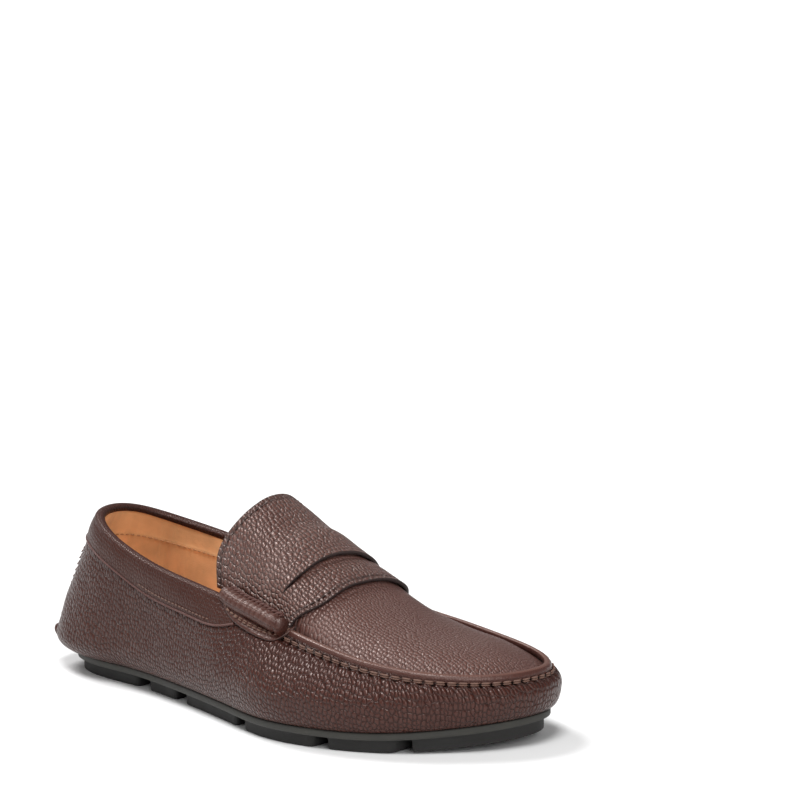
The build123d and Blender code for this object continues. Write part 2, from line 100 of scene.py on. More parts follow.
def smooth(low, high, value):
    """0 below low, 1 above high, and a soft step between them."""
    share = np.clip((value - low) / (high - low), 0, 1)
    return share * share * (3 - 2 * share)


def bell(distance, width):
    """1 at no distance, falling softly to nothing over a width."""
    return np.exp(-(distance / width) ** 2)


def even(count):
    """Even shares from 0 to 1."""
    return np.linspace(0, 1, count)


def circle(count):
    """Angles evenly round a circle."""
    return np.linspace(0, 2 * math.pi, count, endpoint=False)


def run_along(path):
    """Length from the first point of a path to each of its points."""
    return np.concatenate([[0], np.cumsum(np.linalg.norm(np.diff(path, axis=0), axis=1))])


def unit(vectors):
    """Rows of vectors at length 1."""
    return vectors / np.linalg.norm(vectors, axis=1)[:, None]


def together(*values):
    """Arrays of floats, all of the same shape."""
    return np.broadcast_arrays(*(np.asarray(value, float) for value in values))


def spline_second(knots, values, closed):
    """Second derivatives of a cubic spline through values at knots."""
    count = len(values)
    matrix = np.zeros((count, count))
    right = np.zeros((count, values.shape[1]))
    for i in range(count):
        if not closed and i in (0, count - 1):
            matrix[i, i] = 1
            continue
        before, after = (i - 1) % count, (i + 1) % count
        h0, h1 = knots[i] - knots[i - 1], knots[i + 1] - knots[i]
        if closed and i == 0:
            h0 = knots[-1] - knots[-2]
        matrix[i, before] += h0
        matrix[i, i] += 2 * (h0 + h1)
        matrix[i, after] += h1
        right[i] = 6 * ((values[after] - values[i]) / h1 - (values[i] - values[before]) / h0)
    return np.linalg.solve(matrix, right)


class Curve:
    """Cubic spline through points, by share of its chord length from 0 to 1."""

    def __init__(self, points, closed=False, knots=None):
        values = np.array(points, float)
        if values.ndim == 1:
            values = values[:, None]
        self.closed = closed
        self.values = np.vstack([values, values[:1]]) if closed else values
        if knots is None:
            knots = run_along(self.values[:, :2])
            knots = knots / knots[-1]
        self.knots = np.array(knots, float)
        second = spline_second(self.knots, values, closed)
        self.second = np.vstack([second, second[:1]]) if closed else second

    def __call__(self, t):
        t = np.atleast_1d(np.asarray(t, float))
        t = t % 1.0 if self.closed else np.clip(t, self.knots[0], self.knots[-1])
        i = np.clip(np.searchsorted(self.knots, t, side="right") - 1, 0, len(self.knots) - 2)
        h = self.knots[i + 1] - self.knots[i]
        a = ((self.knots[i + 1] - t) / h)[:, None]
        b = ((t - self.knots[i]) / h)[:, None]
        low, high = self.values[i], self.values[i + 1]
        bend = (a ** 3 - a) * self.second[i] + (b ** 3 - b) * self.second[i + 1]
        return a * low + b * high + bend * (h ** 2)[:, None] / 6


def table_curve(table, column):
    """Smooth function of x from one column of a table."""
    x = [row[0] for row in table]
    curve = Curve([row[column] for row in table], knots=x)
    return lambda at: curve(np.asarray(at, float).ravel())[:, 0].reshape(np.shape(at))


def straight(table):
    """Straight-line function of x from a two-column table."""
    x, y = zip(*table)
    return lambda at: np.interp(at, x, y)


rim_curve = Curve(RIM, closed=True)
rim_knots = rim_curve.knots
edge_curve = Curve(EDGE, closed=True, knots=rim_knots)
bulge_height, bulge_out, lean_power = straight(BULGE_HEIGHT), straight(BULGE_OUT), straight(LEAN)
seam_height = table_curve(SEAM_LINE, 1)
arch_half, arch_foot, arch_crown = (table_curve(ARCH, column) for column in (1, 2, 3))
arch_shift, arch_square = (table_curve(ARCH, column) for column in (4, 5))


def spring(x):
    """Lift of the sole at x."""
    return TOE_SPRING * np.clip((x - SPRING_START) / (SPRING_END - SPRING_START), 0, 1.2) ** 2


def plan_normal(t):
    """Outward plan normals of the rim at shares t of its length."""
    step = 0.002
    tangent = rim_curve(np.asarray(t) + step) - rim_curve(np.asarray(t) - step)
    return unit(np.stack([tangent[:, 1], -tangent[:, 0]], 1))


def wall(t, rise, out=0.0):
    """Wall points at shares t round the rim; rise is -1 at the sole, 0 at the bulge and 1 at the edge."""
    t, rise, out = together(t, rise, out)
    shape = t.shape
    t, rise, out = t.ravel(), rise.ravel(), out.ravel()
    rim, edge, normal = rim_curve(t), edge_curve(t), plan_normal(t)
    foot = PLATE_TOP + spring(rim[:, 0])
    bulge = rim + normal * bulge_out(rim[:, 0])[:, None]
    start = rim - normal * 1.2
    height = bulge_height(rim[:, 0])
    angle = np.clip(rise + 1, 0, 1) * math.pi / 2
    share = np.clip(rise, 0, None)
    plan_low = start + (bulge - start) * np.sin(angle)[:, None]
    z_low = foot + (height - foot) * (1 - np.cos(angle))
    plan_high = bulge + (edge[:, :2] - bulge) * (share ** lean_power(rim[:, 0]))[:, None]
    z_high = height + (edge[:, 2] - height) * share
    low = (rise < 0)[:, None]
    plan = np.where(low, plan_low, plan_high) + normal * out[:, None]
    z = np.where(rise < 0, z_low, z_high)
    return np.concatenate([plan, z[:, None]], 1).reshape(*shape, 3)


def rise_at(t, z):
    """Rise on the wall at share t for height z."""
    t, z = together(t, z)
    rim, edge = rim_curve(t.ravel()), edge_curve(t.ravel())
    height, foot = bulge_height(rim[:, 0]), PLATE_TOP + spring(rim[:, 0])
    above = (z.ravel() - height) / (edge[:, 2] - height)
    turned = np.arccos(np.clip(1 - (z.ravel() - foot) / (height - foot), 0, 1)) / (math.pi / 2) - 1
    return np.where(above > 0, above, turned).reshape(t.shape)


def arch(x, v, out=0.0):
    """Points of the instep at x, with v from -1 at the outer foot of the arch to 1."""
    x, v, out = together(x, v, out)
    foot = arch_foot(x)
    height = arch_crown(x) - foot + out
    z = foot + height * np.clip(1 - np.abs(v) ** ARCH_POWER, 0, 1) ** (1 / arch_square(x))
    return np.stack([x, arch_shift(x) + v * (arch_half(x) + out), z], -1)


SIDES = {"lateral": -1, "medial": 1}
side_t = {-1: np.linspace(0.02, rim_knots[11], 400), 1: np.linspace(rim_knots[13], 0.98, 400)[::-1]}


def on_wall(x, z, side, out):
    """Points of the wall at given x and z on one side of the shoe."""
    x, z, out = together(x, z, out)
    result = np.zeros((*x.shape, 3))
    t = side_t[side]
    for index in np.ndindex(x.shape):
        line = wall(t, rise_at(t, np.full_like(t, z[index])), out[index])
        result[index] = [x[index], np.interp(x[index], line[:, 0], line[:, 1]), z[index]]
    return result


# ---- meshes ------------------------------------------------------------------

UP, BACK = Vector((0, 0, 1)), Vector((-1, 0, 0))


def place(points):
    """Millimetres from the back of the heel to metres in the CAD frame."""
    points = np.asarray(points, float).reshape(-1, 3)
    return (points + np.array([HEEL_X, 0, 0])) * MM


def make_mesh(name, points, faces, materials):
    """Smooth object from points in millimetres and faces."""
    mesh = bpy.data.meshes.new(name)
    mesh.from_pydata([tuple(p) for p in place(points)], [], [tuple(int(i) for i in f) for f in faces])
    for material in materials:
        mesh.materials.append(material)
    mesh.polygons.foreach_set("use_smooth", [True] * len(mesh.polygons))
    mesh.update()
    obj = bpy.data.objects.new(name, mesh)
    bpy.context.collection.objects.link(obj)
    return obj


def grid_faces(rows, columns, closed=False, first=0):
    """Quads of a grid whose points run row by row; closed joins the last column to the first."""
    faces = []
    last = columns if closed else columns - 1
    for i in range(rows - 1):
        for j in range(last):
            k = (j + 1) % columns
            low, high = first + i * columns, first + (i + 1) * columns
            faces.append((low + j, low + k, high + k, high + j))
    return faces


def apply_modifiers(obj):
    """Turn an object's modifiers into mesh."""
    graph = bpy.context.evaluated_depsgraph_get()
    mesh = bpy.data.meshes.new_from_object(obj.evaluated_get(graph))
    old = obj.data
    obj.modifiers.clear()
    obj.data = mesh
    bpy.data.meshes.remove(old)
    return obj


def thicken(obj, depth, edge_slot=1, even=True):
    """Give a sheet its thickness, inwards, with its cut edge in a material slot of its own."""
    solid = obj.modifiers.new("thickness", "SOLIDIFY")
    solid.thickness = depth * MM
    solid.offset = -1.0
    solid.use_even_offset = even
    solid.material_offset_rim = edge_slot
    return apply_modifiers(obj)


def outward(obj, join=0.0):
    """Make all faces look outwards, once points closer than join millimetres are merged."""
    made = bmesh.new()
    made.from_mesh(obj.data)
    if join:
        bmesh.ops.remove_doubles(made, verts=made.verts, dist=join * MM)
    bmesh.ops.recalc_face_normals(made, faces=made.faces)
    made.to_mesh(obj.data)
    made.free()
    return obj


def face_towards(obj, way):
    """Turn all faces over if on the whole they look against a direction."""
    if sum(p.normal.dot(way) * p.area for p in obj.data.polygons) < 0:
        obj.data.flip_normals()


def noise3(points, seed, scale):
    """Repeatable soft noise between about -1 and 1 at points, with bumps of a size in millimetres."""
    waves = 10
    rng = np.random.default_rng(seed)
    value = np.zeros(points.shape[:-1])
    for _ in range(waves):
        direction = rng.normal(size=3)
        direction /= np.linalg.norm(direction)
        wave = 2 * math.pi / (scale * rng.uniform(0.7, 1.6))
        value += np.sin(points @ direction * wave + rng.uniform(0, 2 * math.pi))
    return value / math.sqrt(waves / 2) / 1.6


def noise1(run, seed, scale, shift=0.0):
    """The same noise along a length."""
    return noise3(np.stack([run, 0 * run, 0 * run + shift], 1), seed, scale)


def set_point(obj, name, values, kind="FLOAT"):
    """Store a value for each point of a mesh."""
    attribute = obj.data.attributes.new(name, kind, "POINT")
    values = np.asarray(values, np.float32).ravel()
    attribute.data.foreach_set("vector" if kind == "FLOAT_VECTOR" else "value", values)


def flattened(grid):
    """Lengths in metres along and across a grid of points, for the lie of the grain."""
    across = np.linalg.norm(np.diff(grid, axis=1), axis=2)
    down = np.linalg.norm(np.diff(grid, axis=0), axis=2)
    u = np.concatenate([np.zeros((grid.shape[0], 1)), np.cumsum(across, 1)], 1)
    u = np.repeat(u[[int(grid.shape[0] * 0.6)]], grid.shape[0], 0)
    v = np.concatenate([np.zeros((1, grid.shape[1])), np.cumsum(down, 0)], 0)
    v = np.repeat(v.mean(1, keepdims=True), grid.shape[1], 1) * 0.5 + v * 0.5
    return np.stack([u, v, np.zeros_like(u)], -1).reshape(-1, 3) * MM


def keep_rest(obj):
    """Remember where each point starts, so that the grain stays put when a piece bends."""
    flat = np.zeros(len(obj.data.vertices) * 3)
    obj.data.vertices.foreach_get("co", flat)
    set_point(obj, "rest", flat, "FLOAT_VECTOR")
    return obj


def plain_tone(obj):
    """Even tone all over, for a piece without a grid."""
    set_point(obj, "tone", np.zeros(len(obj.data.vertices)))
    return keep_rest(obj)


def dress(obj, grid, tone=0.0, flat=None):
    """Store what the materials read from a grid's points: tone, lie of the grain and place at rest."""
    set_point(obj, "tone", np.broadcast_to(tone, grid.shape[:-1]))
    set_point(obj, "flat", flattened(grid) if flat is None else flat, "FLOAT_VECTOR")
    return keep_rest(obj)


def from_last_row(grid):
    """Length along each column of a grid, counted from its last row."""
    steps = np.linalg.norm(np.diff(grid, axis=0), axis=2)
    return np.concatenate([np.cumsum(steps[::-1], 0)[::-1], np.zeros((1, grid.shape[1]))], 0)


def grid_object(name, grid, skin, tone=0.0, closed=False, flat=None):
    """Sheet from a grid of points, with the material of its cut edge in the second slot."""
    obj = make_mesh(name, grid, grid_faces(*grid.shape[:2], closed), [skin, cut_edge])
    return dress(obj, grid, tone, flat)


def frames_along(path):
    """Level sideways directions and ups along a path."""
    tangent = unit(np.gradient(path, axis=0))
    side = unit(np.cross(tangent, [0, 0, 1.0]))
    return side, np.cross(side, tangent)


def tube(name, path, sections, skin, tone=0.0, frames=None):
    """Tube with its own cross-section at each point of a path; sections hold (sideways, up) pairs."""
    side, up = frames or frames_along(path)
    grid = path[:, None] + side[:, None] * sections[..., :1] + up[:, None] * sections[..., 1:]
    rows, around = grid.shape[:2]
    faces = grid_faces(rows, around, closed=True)
    faces += [tuple(range(around)), tuple(range((rows - 1) * around, rows * around))]
    return outward(dress(make_mesh(name, grid, faces, [skin]), grid, tone))


def rounded_ends(run, reach):
    """Share of full size along a path, falling to nothing over reach at both ends."""
    near = np.clip(np.minimum(run, run[-1] - run) / reach, 0, 1)
    return np.sqrt(np.clip(1 - (1 - near) ** 2, 0.0004, 1))


def ring_section(count, wide, tall):
    """Oval cross-sections of so many points, from half widths and half heights."""
    angle = circle(count)[None]
    return np.stack([np.cos(angle) * wide, np.sin(angle) * tall], -1)


def capsule_row(name, centres, directions, ups, material, length, width, height):
    """Row of stitches: each a short flattened thread, lying along its direction."""
    rings, around = 7, 8  # points along a stitch and round it
    crown = 0.35  # how far its middle stands up, by its height
    points, faces = [], []
    lengthwise = np.linspace(-1, 1, rings)
    fat = np.sqrt(np.clip(1 - np.abs(lengthwise) ** 3.5, 0.02, 1))
    for centre, along, up in zip(centres, directions, ups):
        along = along / np.linalg.norm(along)
        side = np.cross(up, along)
        side /= np.linalg.norm(side)
        up = np.cross(along, side)
        first = len(points)
        for position, size in zip(lengthwise, fat):
            arch_up = crown * height * (1 - position ** 2)
            for k in range(around):
                angle = 2 * math.pi * k / around
                points.append(centre + along * position * length / 2
                              + side * math.cos(angle) * size * width / 2
                              + up * (math.sin(angle) * size * height / 2 + arch_up))
        faces += grid_faces(rings, around, closed=True, first=first)
        faces.append(tuple(range(first + around - 1, first - 1, -1)))
        faces.append(tuple(range(first + (rings - 1) * around, first + rings * around)))
    return plain_tone(outward(make_mesh(name, np.array(points), faces, [material])))


def path_points(curve, spacing, start=0.0):
    """Even places, directions and run along a polyline, from a start to its end."""
    run = run_along(curve)
    count = max(1, int(round((run[-1] - start) / spacing)))
    at = start + (np.arange(count) + 0.5) * (run[-1] - start) / count
    spots, ahead, behind = (np.stack([np.interp(at + step, run, curve[:, k]) for k in range(3)], 1)
                            for step in (0, 0.4, -0.4))
    return spots, ahead - behind, at


def stitches(name, rows, spacing, material, start=0.0, **size):
    """Thread piece from rows of stitches; a row is a path and the way up at each of its points."""
    centres, directions, ups = [], [], []
    for path, up_at in rows:
        spots, ahead, at = path_points(path, spacing, start)
        run = run_along(path)
        centres.append(spots)
        directions.append(ahead)
        ups.append(np.stack([np.interp(at, run, up_at[:, k]) for k in range(3)], 1))
    return capsule_row(name, *(np.concatenate(part) for part in (centres, directions, ups)), material, **size)


# ---- materials ---------------------------------------------------------------

class Nodes:
    """Small helper that adds nodes to a material and links them."""

    def __init__(self, name):
        self.material = bpy.data.materials.new(name)
        self.material.use_nodes = True
        self.tree = self.material.node_tree
        self.shader = next(n for n in self.tree.nodes if n.type == "BSDF_PRINCIPLED")

    def add(self, kind, inputs=None, **settings):
        """New node, with its inputs linked or set."""
        node = self.tree.nodes.new("ShaderNode" + kind)
        for key, value in settings.items():
            setattr(node, key, value)
        for key, value in (inputs or {}).items():
            if isinstance(value, bpy.types.NodeSocket):
                self.tree.links.new(value, node.inputs[key])
            else:
                node.inputs[key].default_value = value
        return node

    def set(self, **inputs):
        """Link or set inputs of the main shader; _ stands for a space in their names."""
        for key, value in inputs.items():
            socket = self.shader.inputs[key.replace("_", " ")]
            if isinstance(value, bpy.types.NodeSocket):
                self.tree.links.new(value, socket)
            else:
                socket.default_value = value

    def math(self, operation, first, second, clamp=False):
        return self.add("Math", {0: first, 1: second}, operation=operation, use_clamp=clamp).outputs[0]

    def stored(self, name, output="Vector"):
        """Value that a mesh keeps at its points."""
        return self.add("Attribute", attribute_name=name).outputs[output]

    def noise(self, where, scale, detail):
        return self.add("TexNoise", {"Vector": where, "Scale": scale, "Detail": detail}).outputs["Fac"]

    def cells(self, where, scale):
        return self.add("TexVoronoi", {"Vector": where, "Scale": scale}, feature="F1").outputs["Distance"]

    def bump(self, strength, depth, height):
        """Bump with a depth in millimetres."""
        return self.add("Bump", {"Strength": strength, "Distance": depth * MM, "Height": height}).outputs[0]

    def times(self, first, second, clamp=False):
        return self.math("MULTIPLY", first, second, clamp)

    def mix(self, factor, first, second):
        node = self.add("Mix", {0: factor}, data_type="RGBA", blend_type="MIX")
        for index, value in ((6, first), (7, second)):
            if isinstance(value, bpy.types.NodeSocket):
                self.tree.links.new(value, node.inputs[index])
            else:
                node.inputs[index].default_value = (*value, 1)
        return node.outputs[2]

    def range(self, value, low, high, to_low=0.0, to_high=1.0, soft=True):
        return self.add("MapRange", {0: value, 1: low, 2: high, 3: to_low, 4: to_high},
                        interpolation_type="SMOOTHSTEP" if soft else "LINEAR").outputs[0]


def linear(red, green, blue):
    """Linear colour from screen values of 0 to 255, all above 10."""
    return tuple(((v / 255 + 0.055) / 1.055) ** 2.4 for v in (red, green, blue))


def shade(colour, *factors):
    """Colour times one factor, or times a factor for each channel."""
    return tuple(c * f for c, f in zip(colour, factors if len(factors) == 3 else factors * 3))


def leather(name, colour, cell, depth, rough, pebble, gloss, stretch=(1, 1, 1), light=(150, 128, 122)):
    """
    Full-grain leather: domed pebbles with creases between them and uneven dye, with painted highlight on the
    pebble crowns and painted shade in the creases.

    cell and depth are the width and height of a pebble in millimetres, pebble is how much they
    show against the fine grain, and light is the colour that a raised tone paints towards.
    """
    n = Nodes(name)
    base = linear(*colour)
    rest, flat, tone = n.stored("rest"), n.stored("flat"), n.stored("tone", "Fac")
    where = n.add("Mapping", {"Vector": flat, "Scale": stretch}).outputs[0]
    wobble = n.add("TexNoise", {"Vector": where, "Scale": 0.7 / (cell * MM), "Detail": 1.0}).outputs["Color"]
    centred = n.add("VectorMath", {0: wobble, 1: (0.5, 0.5, 0.5)}, operation="SUBTRACT").outputs[0]
    moved = n.add("VectorMath", {0: centred, "Scale": cell * MM * 0.6}, operation="SCALE").outputs[0]
    spot = n.add("VectorMath", {0: where, 1: moved}, operation="ADD").outputs[0]
    edge, middle = (n.add("TexVoronoi", {"Vector": spot, "Scale": 1 / (cell * MM), "Randomness": 0.66},
                          voronoi_dimensions="2D", feature=feature).outputs["Distance"]
                    for feature in ("DISTANCE_TO_EDGE", "F1"))
    fine, cloud = n.noise(rest, 1900.0, 3.0), n.noise(rest, 55.0, 3.0)
    crown = n.math("SUBTRACT", 1.0, n.times(n.times(middle, middle), 1.5), True)
    lip = n.range(edge, 0.0, 0.24)
    dome = n.math("ADD", n.times(crown, 0.85 * pebble), n.times(lip, 0.4 * pebble))
    height = n.math("ADD", dome, n.times(fine, 0.09))
    bump = n.bump(1.0, depth, height)
    # Painted highlight on the pebble crowns and painted shade in the creases between them.
    lit = n.mix(n.range(crown, 0.55, 1.0, 0.0, 0.5 * pebble), base, shade(base, 1.35))
    shaded = n.mix(n.range(edge, 0.0, 0.2, 0.75 * pebble, 0.0), lit, shade(base, 0.3))
    dyed = n.mix(n.range(cloud, 0.3, 0.7, 0.0, 0.6), shaded, shade(base, 0.78, 0.62, 0.6))
    # Raised tone paints towards the light colour: painted highlight on ridge and coil tops, and the lighter
    # fold of the tongue. Lowered tone is painted shade in seams, dents, creases, gaps, undersides and along
    # cut edges.
    lightened = n.mix(n.times(n.math("MAXIMUM", tone, 0.0), 0.8, True), dyed, linear(*light))
    dark = n.mix(n.times(tone, -1.0, True), lightened, shade(base, 0.12))
    n.set(Base_Color=dark, Normal=bump, Roughness=n.range(lip, 0.0, 1.0, rough + 0.2, rough),
          Specular_IOR_Level=gloss, Specular_Tint=(1.0, 0.86, 0.81, 1.0))
    return n.material


def raw_edge(name, colour):
    """Cut leather edge, dyed dark and a little fibrous."""
    n = Nodes(name)
    base = linear(*colour)
    fibre = n.noise(n.stored("rest"), 1400.0, 4.0)
    n.set(Base_Color=n.mix(fibre, shade(base, 0.6), shade(base, 1.5)), Roughness=0.75,
          Normal=n.bump(0.6, 0.3, fibre))
    return n.material


def lining_leather(name, colour, rough=0.5):
    """Smooth tan lining with fine pores, soft blotches and rubbed places."""
    n = Nodes(name)
    base = linear(*colour)
    rest, tone = n.stored("rest"), n.stored("tone", "Fac")
    pores = n.cells(rest, 1500.0)
    cloud = n.add("TexNoise", {"Vector": rest, "Scale": 45.0, "Detail": 4.0,
                               "Distortion": 0.6}).outputs["Fac"]
    fold = n.noise(rest, 160.0, 3.0)
    height = n.math("ADD", n.times(pores, 0.3), n.times(fold, 1.4))
    mixed = n.mix(n.range(cloud, 0.3, 0.72), shade(base, 0.78), shade(base, 1.12))
    # Lowered tone darkens the lining: painted shade round the sock's edge, and a darker line along the
    # lining's stitch row.
    dark = n.mix(n.times(tone, -1.0, True), mixed, shade(base, 0.25))
    n.set(Base_Color=dark, Roughness=n.range(cloud, 0.2, 0.8, rough, rough + 0.12),
          Normal=n.bump(0.5, 0.3, height), Sheen_Weight=0.15, Sheen_Roughness=0.5)
    return n.material


def rubber(name, colour, rough):
    """Moulded matt rubber with a faint haze of handling."""
    n = Nodes(name)
    base = linear(*colour)
    where = n.add("TexCoord").outputs["Object"]
    grit, cloud = n.noise(where, 2600.0, 2.0), n.noise(where, 70.0, 4.0)
    n.set(Base_Color=n.mix(n.range(cloud, 0.35, 0.7), base, shade(base, 1.5)),
          Roughness=n.range(cloud, 0.3, 0.7, rough, rough + 0.14), Normal=n.bump(0.35, 0.15, grit))
    return n.material


def spun(name, colour, rough=0.55):
    """Waxed thread or cord with its strands twisted across it."""
    n = Nodes(name)
    base = linear(*colour)
    strand = n.add("TexWave", {"Vector": n.stored("rest"), "Scale": 900.0, "Distortion": 1.5, "Detail": 1.0},
                   bands_direction="DIAGONAL").outputs["Fac"]
    n.set(Base_Color=n.mix(strand, shade(base, 0.6), shade(base, 1.3)), Roughness=rough,
          Normal=n.bump(0.5, 0.2, strand))
    return n.material


def plain_fibre(name, colour, scale):
    """Foam or pressed board."""
    n = Nodes(name)
    base = linear(*colour)
    grit = n.cells(n.add("TexCoord").outputs["Object"], scale)
    n.set(Base_Color=n.mix(grit, shade(base, 0.7), shade(base, 1.2)), Roughness=0.85,
          Normal=n.bump(0.6, 0.3, grit))
    return n.material


wrap_skin = leather("wrap leather", (61, 30, 23), 2.1, 0.68, 0.29, 0.95, 0.4, (1.15, 0.85, 1))
collar_skin = leather("collar leather", (61, 32, 25), 1.5, 0.32, 0.34, 0.7, 0.36, (1.2, 0.8, 1))
# Lighter base colour than the wall leather: partly the leather's own colour, partly painted light for the
# stronger light on the apron's upward face.
apron_skin = leather("apron leather", (85, 54, 47), 1.8, 0.5, 0.36, 0.8, 0.8)
ridge_skin = leather("ridge leather", (72, 40, 33), 1.3, 0.16, 0.29, 0.4, 0.6, light=(140, 106, 94))
# Lighter base colour than the wall leather: partly the leather's own colour, partly painted light for the
# stronger light on the mask's upward faces.
mask_skin = leather("mask leather", (84, 52, 44), 2.3, 0.9, 0.35, 1.0, 1.0)
roll_skin = leather("roll leather", (72, 39, 31), 1.5, 0.22, 0.3, 0.5, 0.55)
cut_edge = raw_edge("cut edge", (44, 28, 25))
tan_skin = lining_leather("tan lining", (238, 184, 130))
tan_sock = lining_leather("tan sock", (222, 166, 116), 0.55)
rim_rubber = rubber("rim rubber", (44, 43, 39), 0.6)
tread_rubber = rubber("tread rubber", (26, 25, 24), 0.7)
thread_brown = spun("stitching thread", (108, 78, 66))
thread_dark = spun("dark thread", (50, 32, 27), 0.75)
thread_light = spun("light thread", (112, 82, 68))
thread_tan = spun("tan thread", (186, 134, 92))
cord_red = spun("twisted cord", (80, 42, 34), 0.5)
foam_white = plain_fibre("foam", (196, 186, 164), 1400.0)
board_brown = plain_fibre("fibre board", (176, 150, 116), 900.0)


# ---- wall leather ------------------------------------------------------------

dense_t = even(2001)
dense_edge = edge_curve(dense_t)
dense_length = run_along(dense_edge)
SEAM_FROM, SEAM_TO = rim_knots[7] + 0.004, rim_knots[18] - 0.004
seam_start, seam_end = np.interp([SEAM_FROM, SEAM_TO], dense_t, dense_length)
STITCH_PITCH = (seam_end - seam_start) / round((seam_end - seam_start) / 5.0)


def seam_length(t):
    """Length along the moccasin seam, from the front of the outer roll."""
    return np.interp(t % 1.0, dense_t, dense_length) - seam_start


def toe_zone(t):
    """1 along the moccasin seam and 0 along the collar."""
    start = smooth(SEAM_FROM - 0.02, SEAM_FROM + 0.004, t)
    return start * (1 - smooth(SEAM_TO - 0.004, SEAM_TO + 0.02, t))


HEEL_SEAM_T = 9.0 / dense_length[-1]
t_wrap = HEEL_SEAM_T + np.linspace(0, 1, WRAP_COLUMNS, endpoint=False)
top_x = wall(t_wrap, 0.9)[:, 0]
SEAM_LAST = SEAM_LINE[-1][0]  # in front of it the wrap ends at the moccasin seam
top_z = np.where(top_x < 170, seam_height(np.minimum(top_x, SEAM_LAST)) + 1.5, 99)
top_rise = np.minimum(rise_at(t_wrap, np.minimum(top_z, edge_curve(t_wrap)[:, 2] - 1.2)), 1.0)
rise_rows = np.concatenate([np.linspace(-1, 0, 14)[:-1], np.linspace(0, 0.7, 22)[:-1],
                            np.linspace(0.7, 1, 26)])
rise_grid = np.where(rise_rows[:, None] < 0, rise_rows[:, None], rise_rows[:, None] * top_rise)
wrap_grid = wall(t_wrap, rise_grid)
wrap_normal = np.cross(np.roll(wrap_grid, -1, 1) - np.roll(wrap_grid, 1, 1), np.gradient(wrap_grid, axis=0))
wrap_normal /= np.maximum(np.linalg.norm(wrap_normal, axis=2), 1e-9)[:, :, None]
wrap_normal *= np.sign((wrap_normal[..., :2] * plan_normal(t_wrap)).sum(-1).mean())
below_top = from_last_row(wrap_grid)
zone = toe_zone(t_wrap)
phase = 2 * math.pi * seam_length(t_wrap) / STITCH_PITCH
waver = noise1(seam_length(t_wrap), 4, 17.0)
pinch = 0.5 + 0.5 * np.cos(phase)  # 1 at the holes between stitches

# Height of the wrap's face over the wall: dents at the holes that run out below them, the fullness
# under the seam, the line the thread draws in, and slow unevenness all over.
gather = -0.9 * pinch ** 3 * bell(below_top - 2.6, 2.2)
gather -= 0.5 * pinch ** 2 * np.exp(-np.clip(below_top - 3, 0, None) / (6.0 + 3.0 * waver))
swell = 0.7 * bell(below_top - 6.0, 4.0)
groove = -1.0 * bell(below_top - 2.2, 1.4)
soft = 0.3 * noise3(wrap_grid, 7, 22.0) * smooth(0.0, 12.0, below_top) * smooth(-0.95, -0.4, rise_grid)
wrap_out = zone * (gather + groove + swell) + soft

# Painted shade: darker in the seam and its dents, and where the wrap turns in to the sole.
wrap_tone = -zone * (0.95 * bell(below_top - 2.3, 1.8) * (0.6 + 0.4 * pinch)
                     + 0.35 * pinch ** 2 * np.exp(-below_top / 5))
wrap_tone -= 0.5 * (1 - smooth(-1.0, -0.72, rise_grid))
GRAIN_REACH = 15.0  # pebbles are longer this near to the seam
grain = flattened(wrap_grid).reshape(wrap_grid.shape)
grain[..., 1] = (0.5 * GRAIN_REACH * zone * (1 - np.exp(-below_top / GRAIN_REACH)) - below_top) * MM
wrap_leather = grid_object("wrap_leather", wrap_grid + wrap_normal * wrap_out[..., None],
                           wrap_skin, wrap_tone, True, grain)
outward(wrap_leather)
thicken(wrap_leather, LEATHER)

# ---- apron and its ridge -----------------------------------------------------

def apron_height(plan):
    """Height of the instep surface over plan points."""
    x, y = plan[..., 0], plan[..., 1]
    v = np.clip((y - arch_shift(x)) / arch_half(x), -1, 1)
    return arch(x, v)[..., 2]


RIDGE_FROM, RIDGE_TO = rim_knots[6] + 0.012, rim_knots[19] - 0.012
t_ridge = np.linspace(RIDGE_FROM, RIDGE_TO, EDGE_COLUMNS)
ridge_line = edge_curve(t_ridge)
ridge_normal = unit(np.stack([np.gradient(ridge_line[:, 1]), -np.gradient(ridge_line[:, 0])], 1))
spine_x = np.interp(even(EDGE_COLUMNS), [0, 0.12, 0.46, 0.54, 0.88, 1],
                    [160, 166, 234, 234, 166, 160])
spine = np.stack([spine_x, np.interp(spine_x, [150, 190, 240], [0.5, 2.5, 9.5])], 1)
inward = np.concatenate([np.linspace(0, 0.86, 34)[:-1], np.linspace(0.86, 1, 16)])
apron_plan = spine + (ridge_line[None, :, :2] - spine) * inward[:, None, None]
apron_z = apron_height(apron_plan)
apron_z += (ridge_line[:, 2] - apron_z[-1])[None] * (inward ** 8)[:, None]
apron_grid = np.concatenate([apron_plan, apron_z[..., None]], -1)
from_edge = from_last_row(apron_grid)
ridge_run = seam_length(t_ridge)
ray = noise1(ridge_run, 12, 4.2)[None]

# Small folds that start at the stitches, and the sunken band and crease beside the ridge.
fine_folds = 0.16 * ray * np.exp(-from_edge / 7)
fine_folds = fine_folds + 0.28 * noise3(apron_grid, 15, 26.0) * smooth(2, 14, from_edge)
sunk = 2.3 * smooth(180, 205, apron_plan[..., 0])
crease = -sunk * bell(from_edge, 9.0) - 0.5 * bell(from_edge, 1.6)
apron_grid[..., 2] += fine_folds + crease
# Painted shade in the crease along the ridge.
apron_tone = -0.8 * bell(from_edge, 1.3)
apron_leather = grid_object("apron_leather", apron_grid, apron_skin, apron_tone,
                            flat=apron_grid * [1, 1.08, 0] * MM)
outward(apron_leather)


